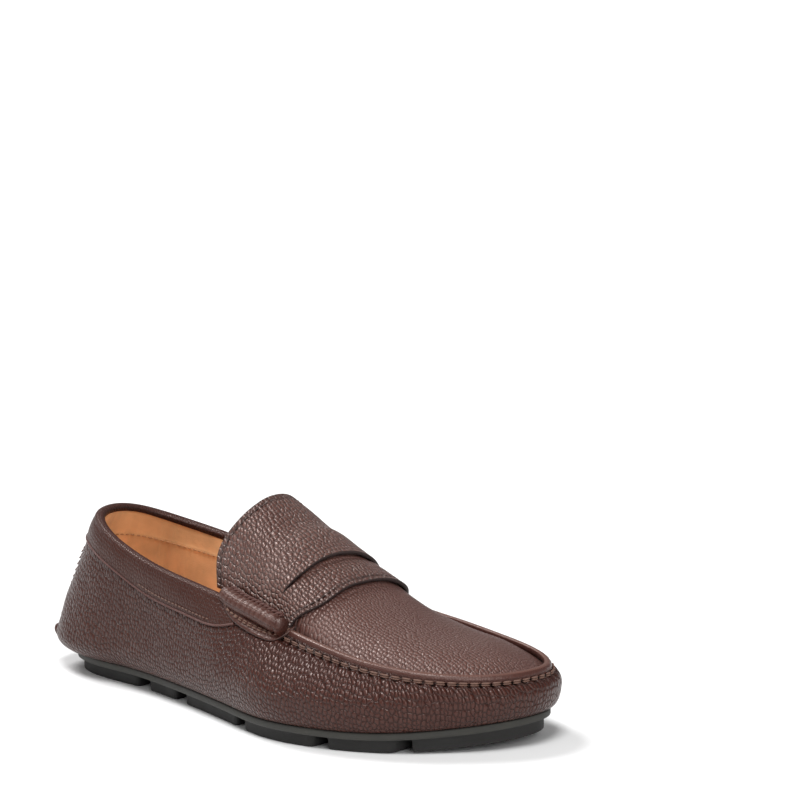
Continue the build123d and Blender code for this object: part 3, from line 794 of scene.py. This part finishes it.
band = circle(20)
keep = (ridge_line[:, 0] > 171)
ridge_path = np.concatenate([ridge_line[keep, :2] + ridge_normal[keep] * 0.35, ridge_line[keep, 2:] - 1.0], 1)
ridge_along = ridge_run[keep] - ridge_run[keep][0]
size = rounded_ends(ridge_along, 3.0)
uneven = 1 + 0.05 * noise1(ridge_along, 21, 11.0)
nip = 1 - 0.05 * (0.5 + 0.5 * np.cos(2 * math.pi * ridge_run[keep] / STITCH_PITCH))
half_wide, half_tall = 1.6 * size * uneven * nip, 2.0 * size
power = 0.75  # below 1, the section is squarer than an oval
wide, tall = (np.sign(share) * np.abs(share) ** power for share in (np.cos(band), np.sin(band)))
ridge_section = np.stack([wide[None] * half_wide[:, None] - 0.25 * tall[None] * half_tall[:, None],
                          tall[None] * half_tall[:, None]], -1)
# Painted highlight along the ridge's top and painted shade on its underside.
ridge_tone = np.where(np.sin(band) > 0.75, 0.3, 0.0)
ridge_tone -= 0.7 * np.clip(-np.sin(band) - 0.35, 0, 1)
apron_ridge = tube("apron_ridge", ridge_path, ridge_section, ridge_skin, ridge_tone)


t_seam = np.linspace(SEAM_FROM, SEAM_TO, 900)
SEAM_DOWN = 3.6  # stitches lie this far below the edge of the wall
seam_rise = 1 - SEAM_DOWN / np.linalg.norm(wall(t_seam, 1.0) - wall(t_seam, 0.0), axis=1)
seam_path = wall(t_seam, seam_rise, -0.25)
seam_up = wall(t_seam, seam_rise, 1.0) - wall(t_seam, seam_rise, 0.0)
lift = np.array([0, 0, 0.46])  # the thread is double
moc_threads = stitches("moc_threads", [(seam_path + lift, seam_up), (seam_path - lift, seam_up)],
                       STITCH_PITCH, thread_brown, length=4.3, width=0.95, height=0.95)

# ---- mask: saddle strap and tongue -------------------------------------------

SLIT_X, SLIT_HALF = 173.0, 30.5  # the slit's middle line and half width
MASK_MIDDLE = 3.0  # y of the mask's middle line
FOLD_X = 157.5  # top of the soft fold in the tongue
MASK_OUT = 2.2  # face of the mask over the instep
tongue_edge = table_curve([(57, 126), (66, 124.3), (74, 124), (82.5, 126.5), (91, 130.5), (104, 134.5)], 1)
mask_low = straight([(110, 57), (126, 57.5), (138, 56), (150, 52.5), (176, 47.5), (200, 44)])


def mask_limit(x):
    """Largest v of the instep that the mask covers at x."""
    foot, crown = arch_foot(x), arch_crown(x)
    share = np.clip((mask_low(x) - foot) / (crown - foot), 0, 1)
    return (1 - share ** arch_square(x)) ** (1 / ARCH_POWER)


def spread(w, limit):
    """v for an even spread w from -1 to 1, closer together down the steep sides."""
    return np.sin(w * np.arcsin(np.clip(limit, 0, 0.9999)))


def arch_at(x, w, out):
    """Instep points by spread w rather than v."""
    return arch(x, spread(w, mask_limit(x)), out)


def mask_edges(w):
    """x of the strap's front edge, the slit and the tongue's edge for each spread w."""
    front = np.full_like(w, 178.0)
    rear = np.full_like(w, 130.0)
    for _ in range(12):  # each edge depends on its own place on the arch
        front = 187.5 - 10.5 * np.abs((arch_at(front, w, 2)[:, 1] - MASK_MIDDLE) / 37.5) ** 6
        rear = 0.5 * rear + 0.5 * tongue_edge(np.clip(arch_at(rear, w, 2)[:, 2], 57, 104))
    slit_y = arch_at(np.full_like(w, SLIT_X), w, 2)[:, 1]
    open_share = np.sqrt(np.clip(1 - (slit_y / SLIT_HALF) ** 2, 0, 1))
    return front, rear, open_share


def mask_parts():
    """Spreads w, x of the strap's grid and of the tongue's grid, and how open the slit is at each w."""
    w = np.linspace(-1, 1, MASK_COLUMNS)
    front, rear, open_share = mask_edges(w)
    slit = SLIT_X - 4.5 * np.abs((arch_at(np.full_like(w, SLIT_X), w, 2)[:, 1] - MASK_MIDDLE) / 32) ** 4
    strap_rear = slit + 1.0 * open_share
    flap_front = slit - 1.2 * open_share
    strap = front + (strap_rear - front) * even(STRAP_ROWS)[:, None]
    flap = flap_front + (rear - flap_front) * even(FLAP_ROWS)[:, None]
    return w, strap, flap, open_share


def mask_out(x, w, open_share, flap):
    """How far the mask's face stands off the instep, with the slit's lips and the soft fold behind it."""
    points = arch_at(x, w, 0)
    away = np.abs(x - SLIT_X)
    lips = open_share * np.where(flap, 1.5 * np.exp(-away / 6.0), -1.6 * np.exp(-away / 4.5))
    fold = 1.3 * bell(x - FOLD_X, 4.2) * bell(points[..., 1] - 2, 24)
    fold -= 0.8 * bell(x - 148.5, 5) * bell(points[..., 1] - 2, 22)
    soft = 0.3 * noise3(points, 31, 24.0) + 0.05 * noise3(points, 32, 8.0)
    return MASK_OUT + lips + fold + soft


def mask_gap(x, edge_x):
    """Distance over the mask from points at x to one of its edges."""
    return np.linalg.norm(arch_at(x, mask_w, 2) - arch_at(edge_x, mask_w, 2), axis=2)


MASK_COLUMNS, STRAP_ROWS, FLAP_ROWS = 190, 30, 74
mask_w, strap_x, flap_x, slit_open = mask_parts()
strap_out = mask_out(strap_x, mask_w, slit_open, False)
strap_front = mask_gap(strap_x, strap_x[:1])
strap_out += 0.9 * bell(strap_front, 5.0) - 0.3 * bell(strap_front - 2.4, 0.8)
flap_out = mask_out(flap_x, mask_w, slit_open, True)
flap_rear = mask_gap(flap_x, flap_x[-1:])
flap_out -= 0.3 * bell(flap_rear - 2.6, 0.9)
strap_grid = arch_at(strap_x, mask_w, strap_out)
flap_grid = arch_at(flap_x, mask_w, flap_out)
# Painted shade along the cut edge of the strap and of the tongue, and in the lines pressed in along their
# stitches.
strap_tone = -0.5 * bell(strap_front - 2.6, 0.8) - 0.7 * np.exp(-strap_front / 0.4)
flap_tone = -0.45 * bell(flap_rear - 2.4, 0.8) - 0.9 * np.exp(-flap_rear / 0.45)
# Lighter along the soft fold of the tongue.
lightened = 0.1 * bell(flap_x - FOLD_X, 5)
mask_points = np.concatenate([strap_grid.reshape(-1, 3), flap_grid.reshape(-1, 3)])
mask_faces = grid_faces(STRAP_ROWS, MASK_COLUMNS)
mask_faces += grid_faces(FLAP_ROWS, MASK_COLUMNS, first=STRAP_ROWS * MASK_COLUMNS)
mask_leather = make_mesh("mask_leather", mask_points, mask_faces, [mask_skin, cut_edge])
mask_tone = np.concatenate([strap_tone.ravel(), (flap_tone + lightened).ravel()])
crown_x = np.linspace(110, 200, 400)
crown_run = np.concatenate([[0], np.cumsum(np.hypot(np.diff(crown_x), np.diff(arch_crown(crown_x) * 0.8)))])
middle_row = arch_at(np.full_like(mask_w, 160.0), mask_w, 2.0)
middle_run = run_along(middle_row)
mask_flat = [np.stack([np.broadcast_to(middle_run, x.shape), np.interp(x, crown_x, crown_run), 0 * x],
                      -1).reshape(-1, 3) for x in (strap_x, flap_x)]
dress(mask_leather, mask_points, mask_tone, np.concatenate(mask_flat) * MM)
outward(mask_leather, 0.05)
face_towards(mask_leather, UP)
thicken(mask_leather, 1.8, even=False)

UNDER_X = 163  # front of the tongue's lining
lining_x = UNDER_X + (mask_edges(mask_w)[1] + 0.5 - UNDER_X) * even(60)[:, None]
lining_grid = arch_at(lining_x, mask_w, 0.25)
tongue_underside = grid_object("tongue_underside", lining_grid, tan_skin)
face_towards(tongue_underside, UP)
thicken(tongue_underside, 0.9, 0)

# ---- collar ------------------------------------------------------------------

COLLAR_FROM, COLLAR_TO = rim_knots[19] + 0.001, 1 + rim_knots[6] - 0.001
t_collar = np.linspace(COLLAR_FROM, COLLAR_TO, EDGE_COLUMNS)
collar_x = wall(t_collar, 0.9)[:, 0]
collar_low = rise_at(t_collar, seam_height(collar_x))
ROLL, ROLL_WIDE = 2.1, 2.5  # half height and half width of the rolled edge
collar_edge_z = edge_curve(t_collar)[:, 2]
collar_high = rise_at(t_collar, collar_edge_z - ROLL)
plan_out = plan_normal(t_collar)
across = even(26)
collar_rise = collar_low + (collar_high - collar_low) * across[:, None]
LEATHER_OUT = 0.6  # collar's face over the wall where it is flat
puff = LEATHER_OUT + 0.75 * np.sin(math.pi * across) ** 0.7 + 0.35 * np.exp(-across / 0.06)
collar_soft = 0.22 * noise3(wall(t_collar, collar_rise), 41, 19.0)
collar_out = puff[:, None] + collar_soft * np.sin(math.pi * across)[:, None]
collar_face = wall(t_collar, collar_rise, collar_out)
tuck = wall(t_collar[None], collar_low - 0.004, -0.1)
turn = np.linspace(0, math.pi, 17)[1:]  # over the rolled top edge
roll_centre = wall(t_collar, collar_high, LEATHER_OUT - ROLL_WIDE)
roll_rows = roll_centre[None] + np.concatenate([
    plan_out[None] * (np.cos(turn) * ROLL_WIDE)[:, None, None],
    np.broadcast_to((np.sin(turn) * ROLL)[:, None, None], (len(turn), len(t_collar), 1))], 2)
drop = even(6)[1:, None, None]  # and down inside
inner_rows = roll_rows[-1:] + drop * np.array([0, 0, -1.6]) + drop * np.concatenate(
    [plan_out * 0.5, np.zeros((len(t_collar), 1))], 1)[None]
collar_grid = np.concatenate([tuck, collar_face, roll_rows, inner_rows], 0)
rows_of = np.arange(collar_grid.shape[0])[:, None]
# Painted shade where the collar tucks into its seam and where it turns down inside the opening.
collar_tone = np.where(rows_of < 2, -0.6, 0.0) - np.where(rows_of > 26 + 14, 0.5, 0.0)
collar_leather = grid_object("collar_leather", collar_grid, collar_skin, collar_tone)
outward(collar_leather)

seam_x = wall(t_collar, collar_low)[:, 0]
piping_path = wall(t_collar, collar_low - 0.012, 0.65)
piping = tube("collar_piping", piping_path, ring_section(10, 0.6, 0.6), cord_red)

front_half = (seam_x > 78) & (seam_x < 133)
collar_rows = []
for half_mask in (t_collar < 1, t_collar >= 1):
    chosen = front_half & half_mask
    line, above = (wall(t_collar[chosen], collar_low[chosen] + 0.055, out) for out in (1.35, 2.35))
    up = above - line
    collar_rows.append((line, up))
collar_stitches = stitches("collar_stitches", collar_rows, 2.6, thread_light,
                           length=1.7, width=0.6, height=0.5)

# ---- linings -----------------------------------------------------------------

lining_top = rise_at(t_collar, collar_edge_z - 2.7)
lining_low = np.full_like(t_collar, -0.35)
LINING_SEAM = 0.83  # share of the lining's height
share = even(60)
lining_rise = lining_low + (lining_top - lining_low) * share[:, None]
heel_near = bell(collar_x - 25, 22)[None]
run_around = run_along(collar_face[20])
pleat = noise1(run_around, 51, 5.5)[None]
LINING_IN = 3.75  # lining's face, in from the wall
lining_under = LINING_IN - heel_near * 0.45 * pleat * np.sin(math.pi * share[:, None]) ** 0.7
stitch_row = bell(share[:, None] - LINING_SEAM, 0.012)
lining_under = lining_under + 0.35 * stitch_row + 0.2 * noise3(wall(t_collar, lining_rise), 52, 20.0)
quarter_face = grid_object("quarter_face", wall(t_collar, lining_rise, -lining_under),
                           tan_skin, -0.18 * stitch_row)
lining_seam = lining_low + (lining_top - lining_low) * LINING_SEAM
lining_line = wall(t_collar, lining_seam, -LINING_IN - 0.4)
lining_up = wall(t_collar, lining_seam, -LINING_IN - 1.4) - lining_line
lining_stitches = stitches("lining_stitches", [(lining_line, lining_up)], 3.0, thread_tan, start=6,
                           length=2.1, width=0.6, height=0.5)

t_toe = np.linspace(rim_knots[6] - 0.002, rim_knots[19] + 0.002, 300)
toe_top = 0.93 - 0.31 * smooth(172, 200, rim_curve(t_toe)[:, 0])
toe_rise = -0.35 + (toe_top + 0.35) * even(30)[:, None]
toe_wall = wall(t_toe, toe_rise, -3.8)
vamp_side = grid_object("vamp_side", toe_wall, tan_skin)
vamp_x = np.linspace(150, 240, 70)
vamp_roof = arch(vamp_x[:, None], spread(np.linspace(-1, 1, 60), 0.97)[None], -6.8)
vamp_top = grid_object("vamp_top", vamp_roof, tan_skin)

foot_t = np.linspace(0, 1, SOCK_COLUMNS, endpoint=False)
foot_edge = rim_curve(foot_t) - plan_normal(foot_t) * 3.0
foot_middle = np.stack([np.clip(foot_edge[:, 0], 45, 236),
                        np.interp(foot_edge[:, 0], [40, 120, 180, 240], [0, -3, -4, 6])], 1)
foot_share = np.concatenate([np.linspace(0, 0.9, 26)[:-1], np.linspace(0.9, 1, 8)])
foot_plan = foot_middle + (foot_edge - foot_middle) * foot_share[:, None, None]
foot_flat = np.concatenate([foot_plan, 0 * foot_plan[..., :1]], 2)
dish = 0.9 * (foot_share[:, None] ** 3) + 0.2 * noise3(foot_flat, 61, 30.0)
foot_z = SOCK_TOP - 0.4 + dish + spring(foot_plan[..., 0])
# Painted shade round the edge of the sock, where it meets the wall.
sock_tone = -0.35 * smooth(0.97, 1.0, foot_share)[:, None]
sock_face = grid_object("sock_face", np.concatenate([foot_plan, foot_z[..., None]], 2), tan_sock,
                        sock_tone, closed=True)

# ---- rolled side seams and tabs ----------------------------------------------

ROLL_RADIUS, ROLL_PITCH = 4.0, 3.05  # half thickness, and from one coil to the next
CORD_PITCH, CORD_TURN, CORD_STRAND = 5.2, 0.62, 0.72  # twist, strand's way round, strand's half width
around = circle(36)
tab_curve = Curve([(137, 58), (139.5, 54), (144.5, 50), (151.5, 47), (160, 44.6), (168.5, 43), (175, 43.6),
                   (178, 47.5)])
rolls, cords, tabs, facings, tab_rows = {}, {}, {}, {}, []
for name, side in SIDES.items():
    spine_curve = Curve([(137.5, side * 37.0, 57.8), (142, side * 38.6, 56.6), (158, side * 40.0, 53.2),
                         (170, side * 40.2, 50.2), (177.2, side * 39.6, 48.4)])
    roll_path = spine_curve(even(260))
    run = run_along(roll_path)
    radius = ROLL_RADIUS + 0.3 * smooth(run[-1] - 9, run[-1] - 4, run)
    radius *= rounded_ends(run + 1.2, 2.4)
    turn_of = 2 * math.pi * run / ROLL_PITCH + 1.1 * noise1(run, 71, 13.0, side)
    ridged = (0.5 + 0.5 * np.cos(turn_of)) ** 0.7 * (1 - smooth(run[-1] - 6.5, run[-1] - 4.5, run))
    upper = smooth(-0.25, 0.5, np.sin(around))
    swelling = 0.32 * (ridged - 0.5)[:, None] * upper[None]
    neck = -0.7 * bell(run - (run[-1] - 4.2), 1.0)
    r = (radius + neck)[:, None] + swelling
    # Painted highlight on the crests of the coils and painted shade in the gaps between them, on the upper
    # half of the roll; the smooth front end takes the painted shade over its whole top.
    tone = 0.1 * ridged[:, None] * upper[None] - 0.3 * (1 - ridged)[:, None] ** 4 * upper[None]
    rolls[name] = tube(f"{name}_roll_leather", roll_path, ring_section(len(around), r, r), roll_skin, tone)

    # Cord of two twisted strands, between the roll and the mask.
    cord_path = roll_path[16:-26] + np.array([0, -side * 3.1, 3.4])
    cord_run = run[16:-26]
    side_way, up_way = frames_along(cord_path)
    points, faces = [], []
    for strand in range(2):
        turn_at = 2 * math.pi * cord_run / CORD_PITCH + strand * math.pi
        centre = cord_path + CORD_TURN * (side_way * np.cos(turn_at)[:, None]
                                          + up_way * np.sin(turn_at)[:, None])
        s_way, u_way = frames_along(centre)
        loop = circle(9)
        grid = centre[:, None] + CORD_STRAND * (s_way[:, None] * np.cos(loop)[None, :, None]
                                                + u_way[:, None] * np.sin(loop)[None, :, None])
        faces += grid_faces(*grid.shape[:2], closed=True, first=len(points) * len(centre) * len(loop))
        points.append(grid.reshape(-1, 3))
    cords[name] = make_mesh(f"{name}_cord", np.concatenate(points), faces, [cord_red])
    outward(plain_tone(cords[name]))

    roof_edge = vamp_roof[:, 0 if side < 0 else -1]
    # Lining between the top of the roll and the wall, so that no raw back shows inside.
    facing_x = np.linspace(136.5, 206, 80)
    known_x = [136.5, 144, 150, *vamp_x[1:]]
    facing_y = np.interp(facing_x, known_x, [31.6, 31.0, *(side * roof_edge[:, 1] - 0.6)])
    facing_z = np.interp(facing_x, known_x, [60.5, 59.5, *(roof_edge[:, 2] + 0.4)])
    facing_low = on_wall(facing_x, 37.0, side, -4.5)
    facing_top = np.stack([facing_x, side * facing_y, facing_z], 1)
    fall = even(24)[:, None, None]
    turn = np.concatenate([fall, smooth(0.3, 1.0, fall), fall], 2)
    facing_grid = facing_top[None] + (facing_low - facing_top)[None] * turn
    facings[name] = grid_object(f"{name}_facing", facing_grid, tan_skin)

    # The tab, from under the roll down to its curved edge, pressed in along its stitches.
    way = even(TAB_COLUMNS)
    down_edge = tab_curve(way)
    top_line = np.stack([np.interp(way, [0, 0.2, 0.8, 1], [137, 143, 172, 177.5]),
                         np.interp(way, [0, 0.2, 0.8, 1], [58.5, 57.0, 50.5, 49.5])], 1)
    deep = even(18)
    plan = top_line[None] + (down_edge - top_line)[None] * deep[:, None, None]
    tab_out = 0.6 + 1.7 + 0.55 * bell(1 - deep - 0.42, 0.3)[:, None]
    tab_grid = on_wall(plan[..., 0], plan[..., 1], side, tab_out)
    edge_gap = np.linalg.norm(tab_grid - tab_grid[-1:], axis=2)
    tab_grid[..., 1] -= side * (0.35 * bell(edge_gap - 2.4, 0.7) + 0.5 * bell(edge_gap, 0.7))
    # Painted shade along the tab's cut edge and in the line pressed in by its stitches.
    tabs[name] = grid_object(f"{name}_tab", tab_grid, roll_skin,
                             -0.5 * np.exp(-edge_gap / 0.6) - 0.35 * bell(edge_gap - 2.4, 0.7))
    outward(tabs[name])
    face_towards(tabs[name], Vector((0, side, 0)))
    thicken(tabs[name], LEATHER)

    sewn, rising = down_edge[6:-4], (top_line - down_edge)[6:-4]
    inner_edge = Curve(sewn + rising * (2.4 / np.linalg.norm(rising, axis=1))[:, None])
    low_row = on_wall(*inner_edge(even(60)).T, side, 2.75)
    high_x = np.linspace(143, 171, 60)
    high_line = np.stack([high_x, np.interp(high_x, [143, 157, 171], [52.6, 48.6, 45.4])], 1)
    high_row = on_wall(*high_line.T, side, 2.9)
    outwards = np.tile([0, side * 1.0, 0.35], (60, 1))
    tab_rows += [(low_row, outwards), (high_row, outwards)]
tab_stitches = stitches("tab_stitches", tab_rows, 3.0, thread_light, length=2.2, width=0.75, height=0.65)

# ---- thread on the mask ------------------------------------------------------

def mask_row(x, out, w):
    """Path and outward directions across the mask."""
    line = arch_at(x, w, out)
    return line, arch_at(x, w, out + 1) - line


row_w = np.linspace(-0.97, 0.97, 240)
row_front, row_rear = mask_edges(row_w)[:2]
strap_stitches = stitches("strap_stitches", [mask_row(row_front - 2.4, 2.35, row_w)], 3.2, thread_dark,
                          length=2.2, width=0.75, height=0.6)
tongue_stitches = stitches("tongue_stitches", [mask_row(row_rear + 2.6, 1.9, row_w)], 3.2, thread_dark,
                           length=2.2, width=0.7, height=0.55)

# ---- back seam ---------------------------------------------------------------

BACK_PITCH = 3.6  # from one stitch of the back seam to the next
LOBE_TOP = 19.5  # the cord starts where the heel lobe ends
heel_z = np.linspace(LOBE_TOP, 58.5, 120)
heel_t = np.full_like(heel_z, HEEL_SEAM_T)
heel_line = wall(heel_t, rise_at(heel_t, heel_z), 1.0)
wrapped = 1 + 0.13 * np.cos(2 * math.pi * heel_z / BACK_PITCH)[:, None]
level = np.tile([0, 1.0, 0], (len(heel_z), 1))
heel_frames = (level, np.cross(level, unit(np.gradient(heel_line, axis=0))))
heel_cord = tube("heel_cord", heel_line, ring_section(14, 1.9 * wrapped, 1.7 * wrapped), roll_skin,
                 frames=heel_frames)

spots, ahead = path_points(wall(heel_t, rise_at(heel_t, heel_z), 2.5), BACK_PITCH, 4.0)[:2]
slanted = unit(ahead) + np.array([0, 1.3, 0])
back_stitches = capsule_row("back_stitches", spots, slanted, np.tile([-1.0, 0, 0.15], (len(spots), 1)),
                            thread_brown, length=4.2, width=0.95, height=0.7)

lobe_u = np.linspace(-1, 1, 28)
lobe_v = even(18)
lobe_half = 6.2 * np.sqrt(np.clip(1 - (lobe_v * 1.02 - 0.15).clip(0) ** 2.6, 0.02, 1))
lobe_y = lobe_u[None] * lobe_half[:, None]
lobe_z = LOBE_TOP - 8.0 * lobe_v[:, None] + 0.6 * (lobe_u[None] ** 2)
lobe_t = HEEL_SEAM_T - lobe_y / dense_length[-1] * 1.15
lobe_swell = 1.5 * (1 - lobe_u[None] ** 4)
lobe_swell = lobe_swell * np.sin(math.pi * np.clip(lobe_v * 0.9 + 0.1, 0, 1))[:, None] ** 0.5
lobe_grid = wall(lobe_t, rise_at(lobe_t, lobe_z), 0.9 + lobe_swell)
heel_flap = grid_object("heel_flap", lobe_grid, roll_skin)
face_towards(heel_flap, BACK)
thicken(heel_flap, LEATHER, 0)

# ---- rubber sole -------------------------------------------------------------

def outline_offset(outline, amount):
    """Closed plan outline moved outwards."""
    ahead, behind = np.roll(outline, -1, 0), np.roll(outline, 1, 0)
    normal = np.stack([(ahead - behind)[:, 1], -(ahead - behind)[:, 0]], 1)
    return outline + amount * normal / np.linalg.norm(normal, axis=1)[:, None]


def stacked(name, outline, levels, material):
    """Solid from one plan outline, with an outward shift for each height; it follows the toe spring."""
    count = len(outline)
    rings = []
    for z, shift in levels:
        plan = outline_offset(outline, shift)
        rings.append(np.concatenate([plan, (z + spring(plan[:, 0]))[:, None]], 1))
    points = np.array(rings).reshape(-1, 3)
    faces = grid_faces(len(levels), count, closed=True)
    for first, z in ((0, levels[0][0]), ((len(levels) - 1) * count, levels[-1][0])):
        middle = len(points)
        axis_x = np.clip(outline[:, 0], outline[:, 0].min() + 4, outline[:, 0].max() - 4)
        axis_y = np.interp(axis_x, [0, 60, 150, 200, 280], [0, 0, -4, -2, 10])
        centre = np.stack([axis_x, axis_y, z + spring(axis_x)], 1)
        points = np.concatenate([points, centre])
        for k in range(count):
            n = (k + 1) % count
            faces.append((first + k, first + n, middle + n, middle + k))
    obj = make_mesh(name, points, faces, [material])
    return outward(obj, 0.02)


# Sections of the rubber: height, and how far it stands out from the plan outline there.
PLATE_SECTION = [(PLATE_LOW, -1.2), (PLATE_LOW + 0.1, -0.6), (PLATE_LOW + 0.5, -0.15),
                 (PLATE_LOW + 1.0, 0.0), (PLATE_TOP - 0.9, 0.0), (PLATE_TOP - 0.4, -0.12),
                 (PLATE_TOP - 0.1, -0.45), (PLATE_TOP, -1.0), (PLATE_TOP, -3.0)]
BLOCK_SECTION = [(0, -1.1), (0.12, -0.55), (0.5, -0.12), (1.0, 0), (4.2, 0), (5.2, 0.25), (5.8, 0.8),
                 (6.2, 1.6)]
BLOCK_INSET, BLOCK_CORNER = 3.0, 3.0  # in from the rim, and size of the rounded corners
# Start and end of each tread block by x.
BLOCKS = {"tread_heel": (-20, 67), "tread_shank": (75, 98), "tread_waist": (106, 152),
          "tread_ball": (158, 202), "tread_forefoot": (208, 236), "tread_toe": (241, 300)}

rim_outline = rim_curve(np.linspace(0, 1, 420, endpoint=False))
rim_piece = stacked("rubber_plate", rim_outline, PLATE_SECTION, rim_rubber)


def block_outline(start, end):
    """Plan outline of one tread block, with rounded corners."""
    count, corner = 3000, BLOCK_CORNER
    dense = outline_offset(rim_curve(np.linspace(0, 1, count, endpoint=False)), -BLOCK_INSET)
    inside = (dense[:, 0] > start) & (dense[:, 0] < end)
    starts = np.flatnonzero(inside & ~np.roll(inside, 1))
    sides = []
    for first in starts:
        piece = []
        k = first
        while inside[k % count] and len(piece) < count:
            piece.append(dense[k % count])
            k += 1
        sides.append(np.array(piece))
    outline = []
    for number, piece in enumerate(sides):
        run = run_along(piece)
        trimmed = piece[(run > corner) & (run < run[-1] - corner)][::6]
        after = sides[(number + 1) % len(sides)]
        outline += list(trimmed)
        for here, towards, last in ((piece[-1], after[0], trimmed[-1]), (after[0], piece[-1], None)):
            way = (towards - here) / np.linalg.norm(towards - here)
            if last is not None:
                a, b, c = last, here, here + way * corner
            else:
                run_after = run_along(after)
                a, b, c = here + way * corner, here, after[run_after > corner][0]
            for s in np.linspace(0.1, 0.9, 6):
                outline.append(a * (1 - s) ** 2 + 2 * b * s * (1 - s) + c * s * s)
            if last is not None:
                for s in even(9)[1:-1]:
                    outline.append(c + (towards - way * corner - c) * s)
    return np.array(outline)


block_pieces = {node: stacked(node.replace("tread", "block"), block_outline(*span), BLOCK_SECTION,
                              tread_rubber) for node, span in BLOCKS.items()}

# ---- what each piece stands for, and which body it moves with -----------------

RIDES = [
    (wrap_leather, "shoe", "upper_leather", ["wrap"]),
    (apron_leather, "shoe", "upper_leather", ["apron"]),
    (apron_ridge, "shoe", "upper_leather", ["apron_welt"]),
    (moc_threads, "shoe", "thread", ["moc_seam_thread"]),
    (collar_leather, "shoe", "upper_leather", ["collar", "collar_padding"]),
    (piping, "shoe", "thread", []),
    (collar_stitches, "shoe", "thread", ["collar_thread"]),
    (quarter_face, "shoe", "lining_leather", ["quarter_lining"]),
    (lining_stitches, "shoe", "thread", []),
    (vamp_side, "shoe", "lining_leather", ["vamp_lining"]),
    (vamp_top, "shoe", "lining_leather", []),
    (facings["lateral"], "shoe", "lining_leather", []),
    (facings["medial"], "shoe", "lining_leather", []),
    (sock_face, "shoe", "lining_leather", ["sock_lining"]),
    (rolls["lateral"], "shoe", "upper_leather", ["lateral_roll"]),
    (rolls["medial"], "shoe", "upper_leather", ["medial_roll"]),
    (cords["lateral"], "shoe", "thread", ["lateral_roll_thread"]),
    (cords["medial"], "shoe", "thread", ["medial_roll_thread"]),
    (tabs["lateral"], "shoe", "upper_leather", ["lateral_side_tab"]),
    (tabs["medial"], "shoe", "upper_leather", ["medial_side_tab"]),
    (tab_stitches, "shoe", "thread", ["side_tab_thread"]),
    (strap_stitches, "shoe", "thread", ["saddle_edge_thread"]),
    (heel_cord, "shoe", "upper_leather", ["heel_welt"]),
    (back_stitches, "shoe", "thread", ["heel_seam_thread"]),
    (heel_flap, "shoe", "upper_leather", ["heel_lobe"]),
    (rim_piece, "shoe", "rubber_rim", ["sole_plate"]),
    *((piece, "shoe", "rubber_tread", [node]) for node, piece in block_pieces.items()),
]
for piece, body, material_slot, nodes in RIDES:
    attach(piece, body)
    if nodes:
        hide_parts(*nodes)

for piece, material_slot, nodes in ((mask_leather, "upper_leather", ["saddle", "tongue"]),
                                    (tongue_underside, "lining_leather", ["tongue_lining"]),
                                    (tongue_stitches, "thread", ["tongue_edge_thread"])):
    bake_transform(piece)
    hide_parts(*nodes)

for node, material in (("insole_board", board_brown), ("heel_counter", board_brown),
                       ("footbed_foam", foam_white)):
    cad = bpy.data.objects[node]
    cad.data.materials.clear()
    cad.data.materials.append(material)

# ---- floor, light and camera --------------------------------------------------

bpy.ops.mesh.primitive_plane_add(size=200, location=(0, 0, 0))
floor = bpy.context.object
floor.name = "floor"
paper = Nodes("paper floor")
paper.set(Base_Color=(0.86, 0.86, 0.86, 1), Roughness=0.9)
floor.data.materials.append(paper.material)


def lamp(name, direction, strength, spread):
    """Soft far light that shines along a direction; spread is its angular size in degrees."""
    data = bpy.data.lights.new(name, "SUN")
    data.energy = strength
    data.angle = math.radians(spread)
    obj = bpy.data.objects.new(name, data)
    obj.rotation_euler = Vector(direction).to_track_quat("-Z", "Y").to_euler()
    bpy.context.collection.objects.link(obj)


lamp("top", (-0.25, 0.35, -0.9), 2.0, 20)
lamp("front", (-0.8, 0.35, -0.42), 1.0, 36)
lamp("rear", (0.56, 0.05, -0.83), 2.2, 24)
lamp("side", (0.2, 0.85, -0.6), 0.25, 30)

world = bpy.data.worlds.new("studio")
bpy.context.scene.world = world
world.use_nodes = True
background = next(n for n in world.node_tree.nodes if n.type == "BACKGROUND")
background.inputs["Color"].default_value = (1, 1, 1, 1)
background.inputs["Strength"].default_value = 0.24

camera_data = bpy.data.cameras.new("camera")
camera_data.lens = 141.0
camera_data.sensor_width = 36.0
camera = bpy.data.objects.new("camera", camera_data)
camera.location = (0.98346, -1.01838, 0.37112)
aim = Vector((0.03875, 0.03492, 0.14264))
camera.rotation_euler = (aim - camera.location).to_track_quat("-Z", "Y").to_euler()
bpy.context.collection.objects.link(camera)
bpy.context.scene.camera = camera
bpy.context.scene.view_settings.view_transform = "Standard"
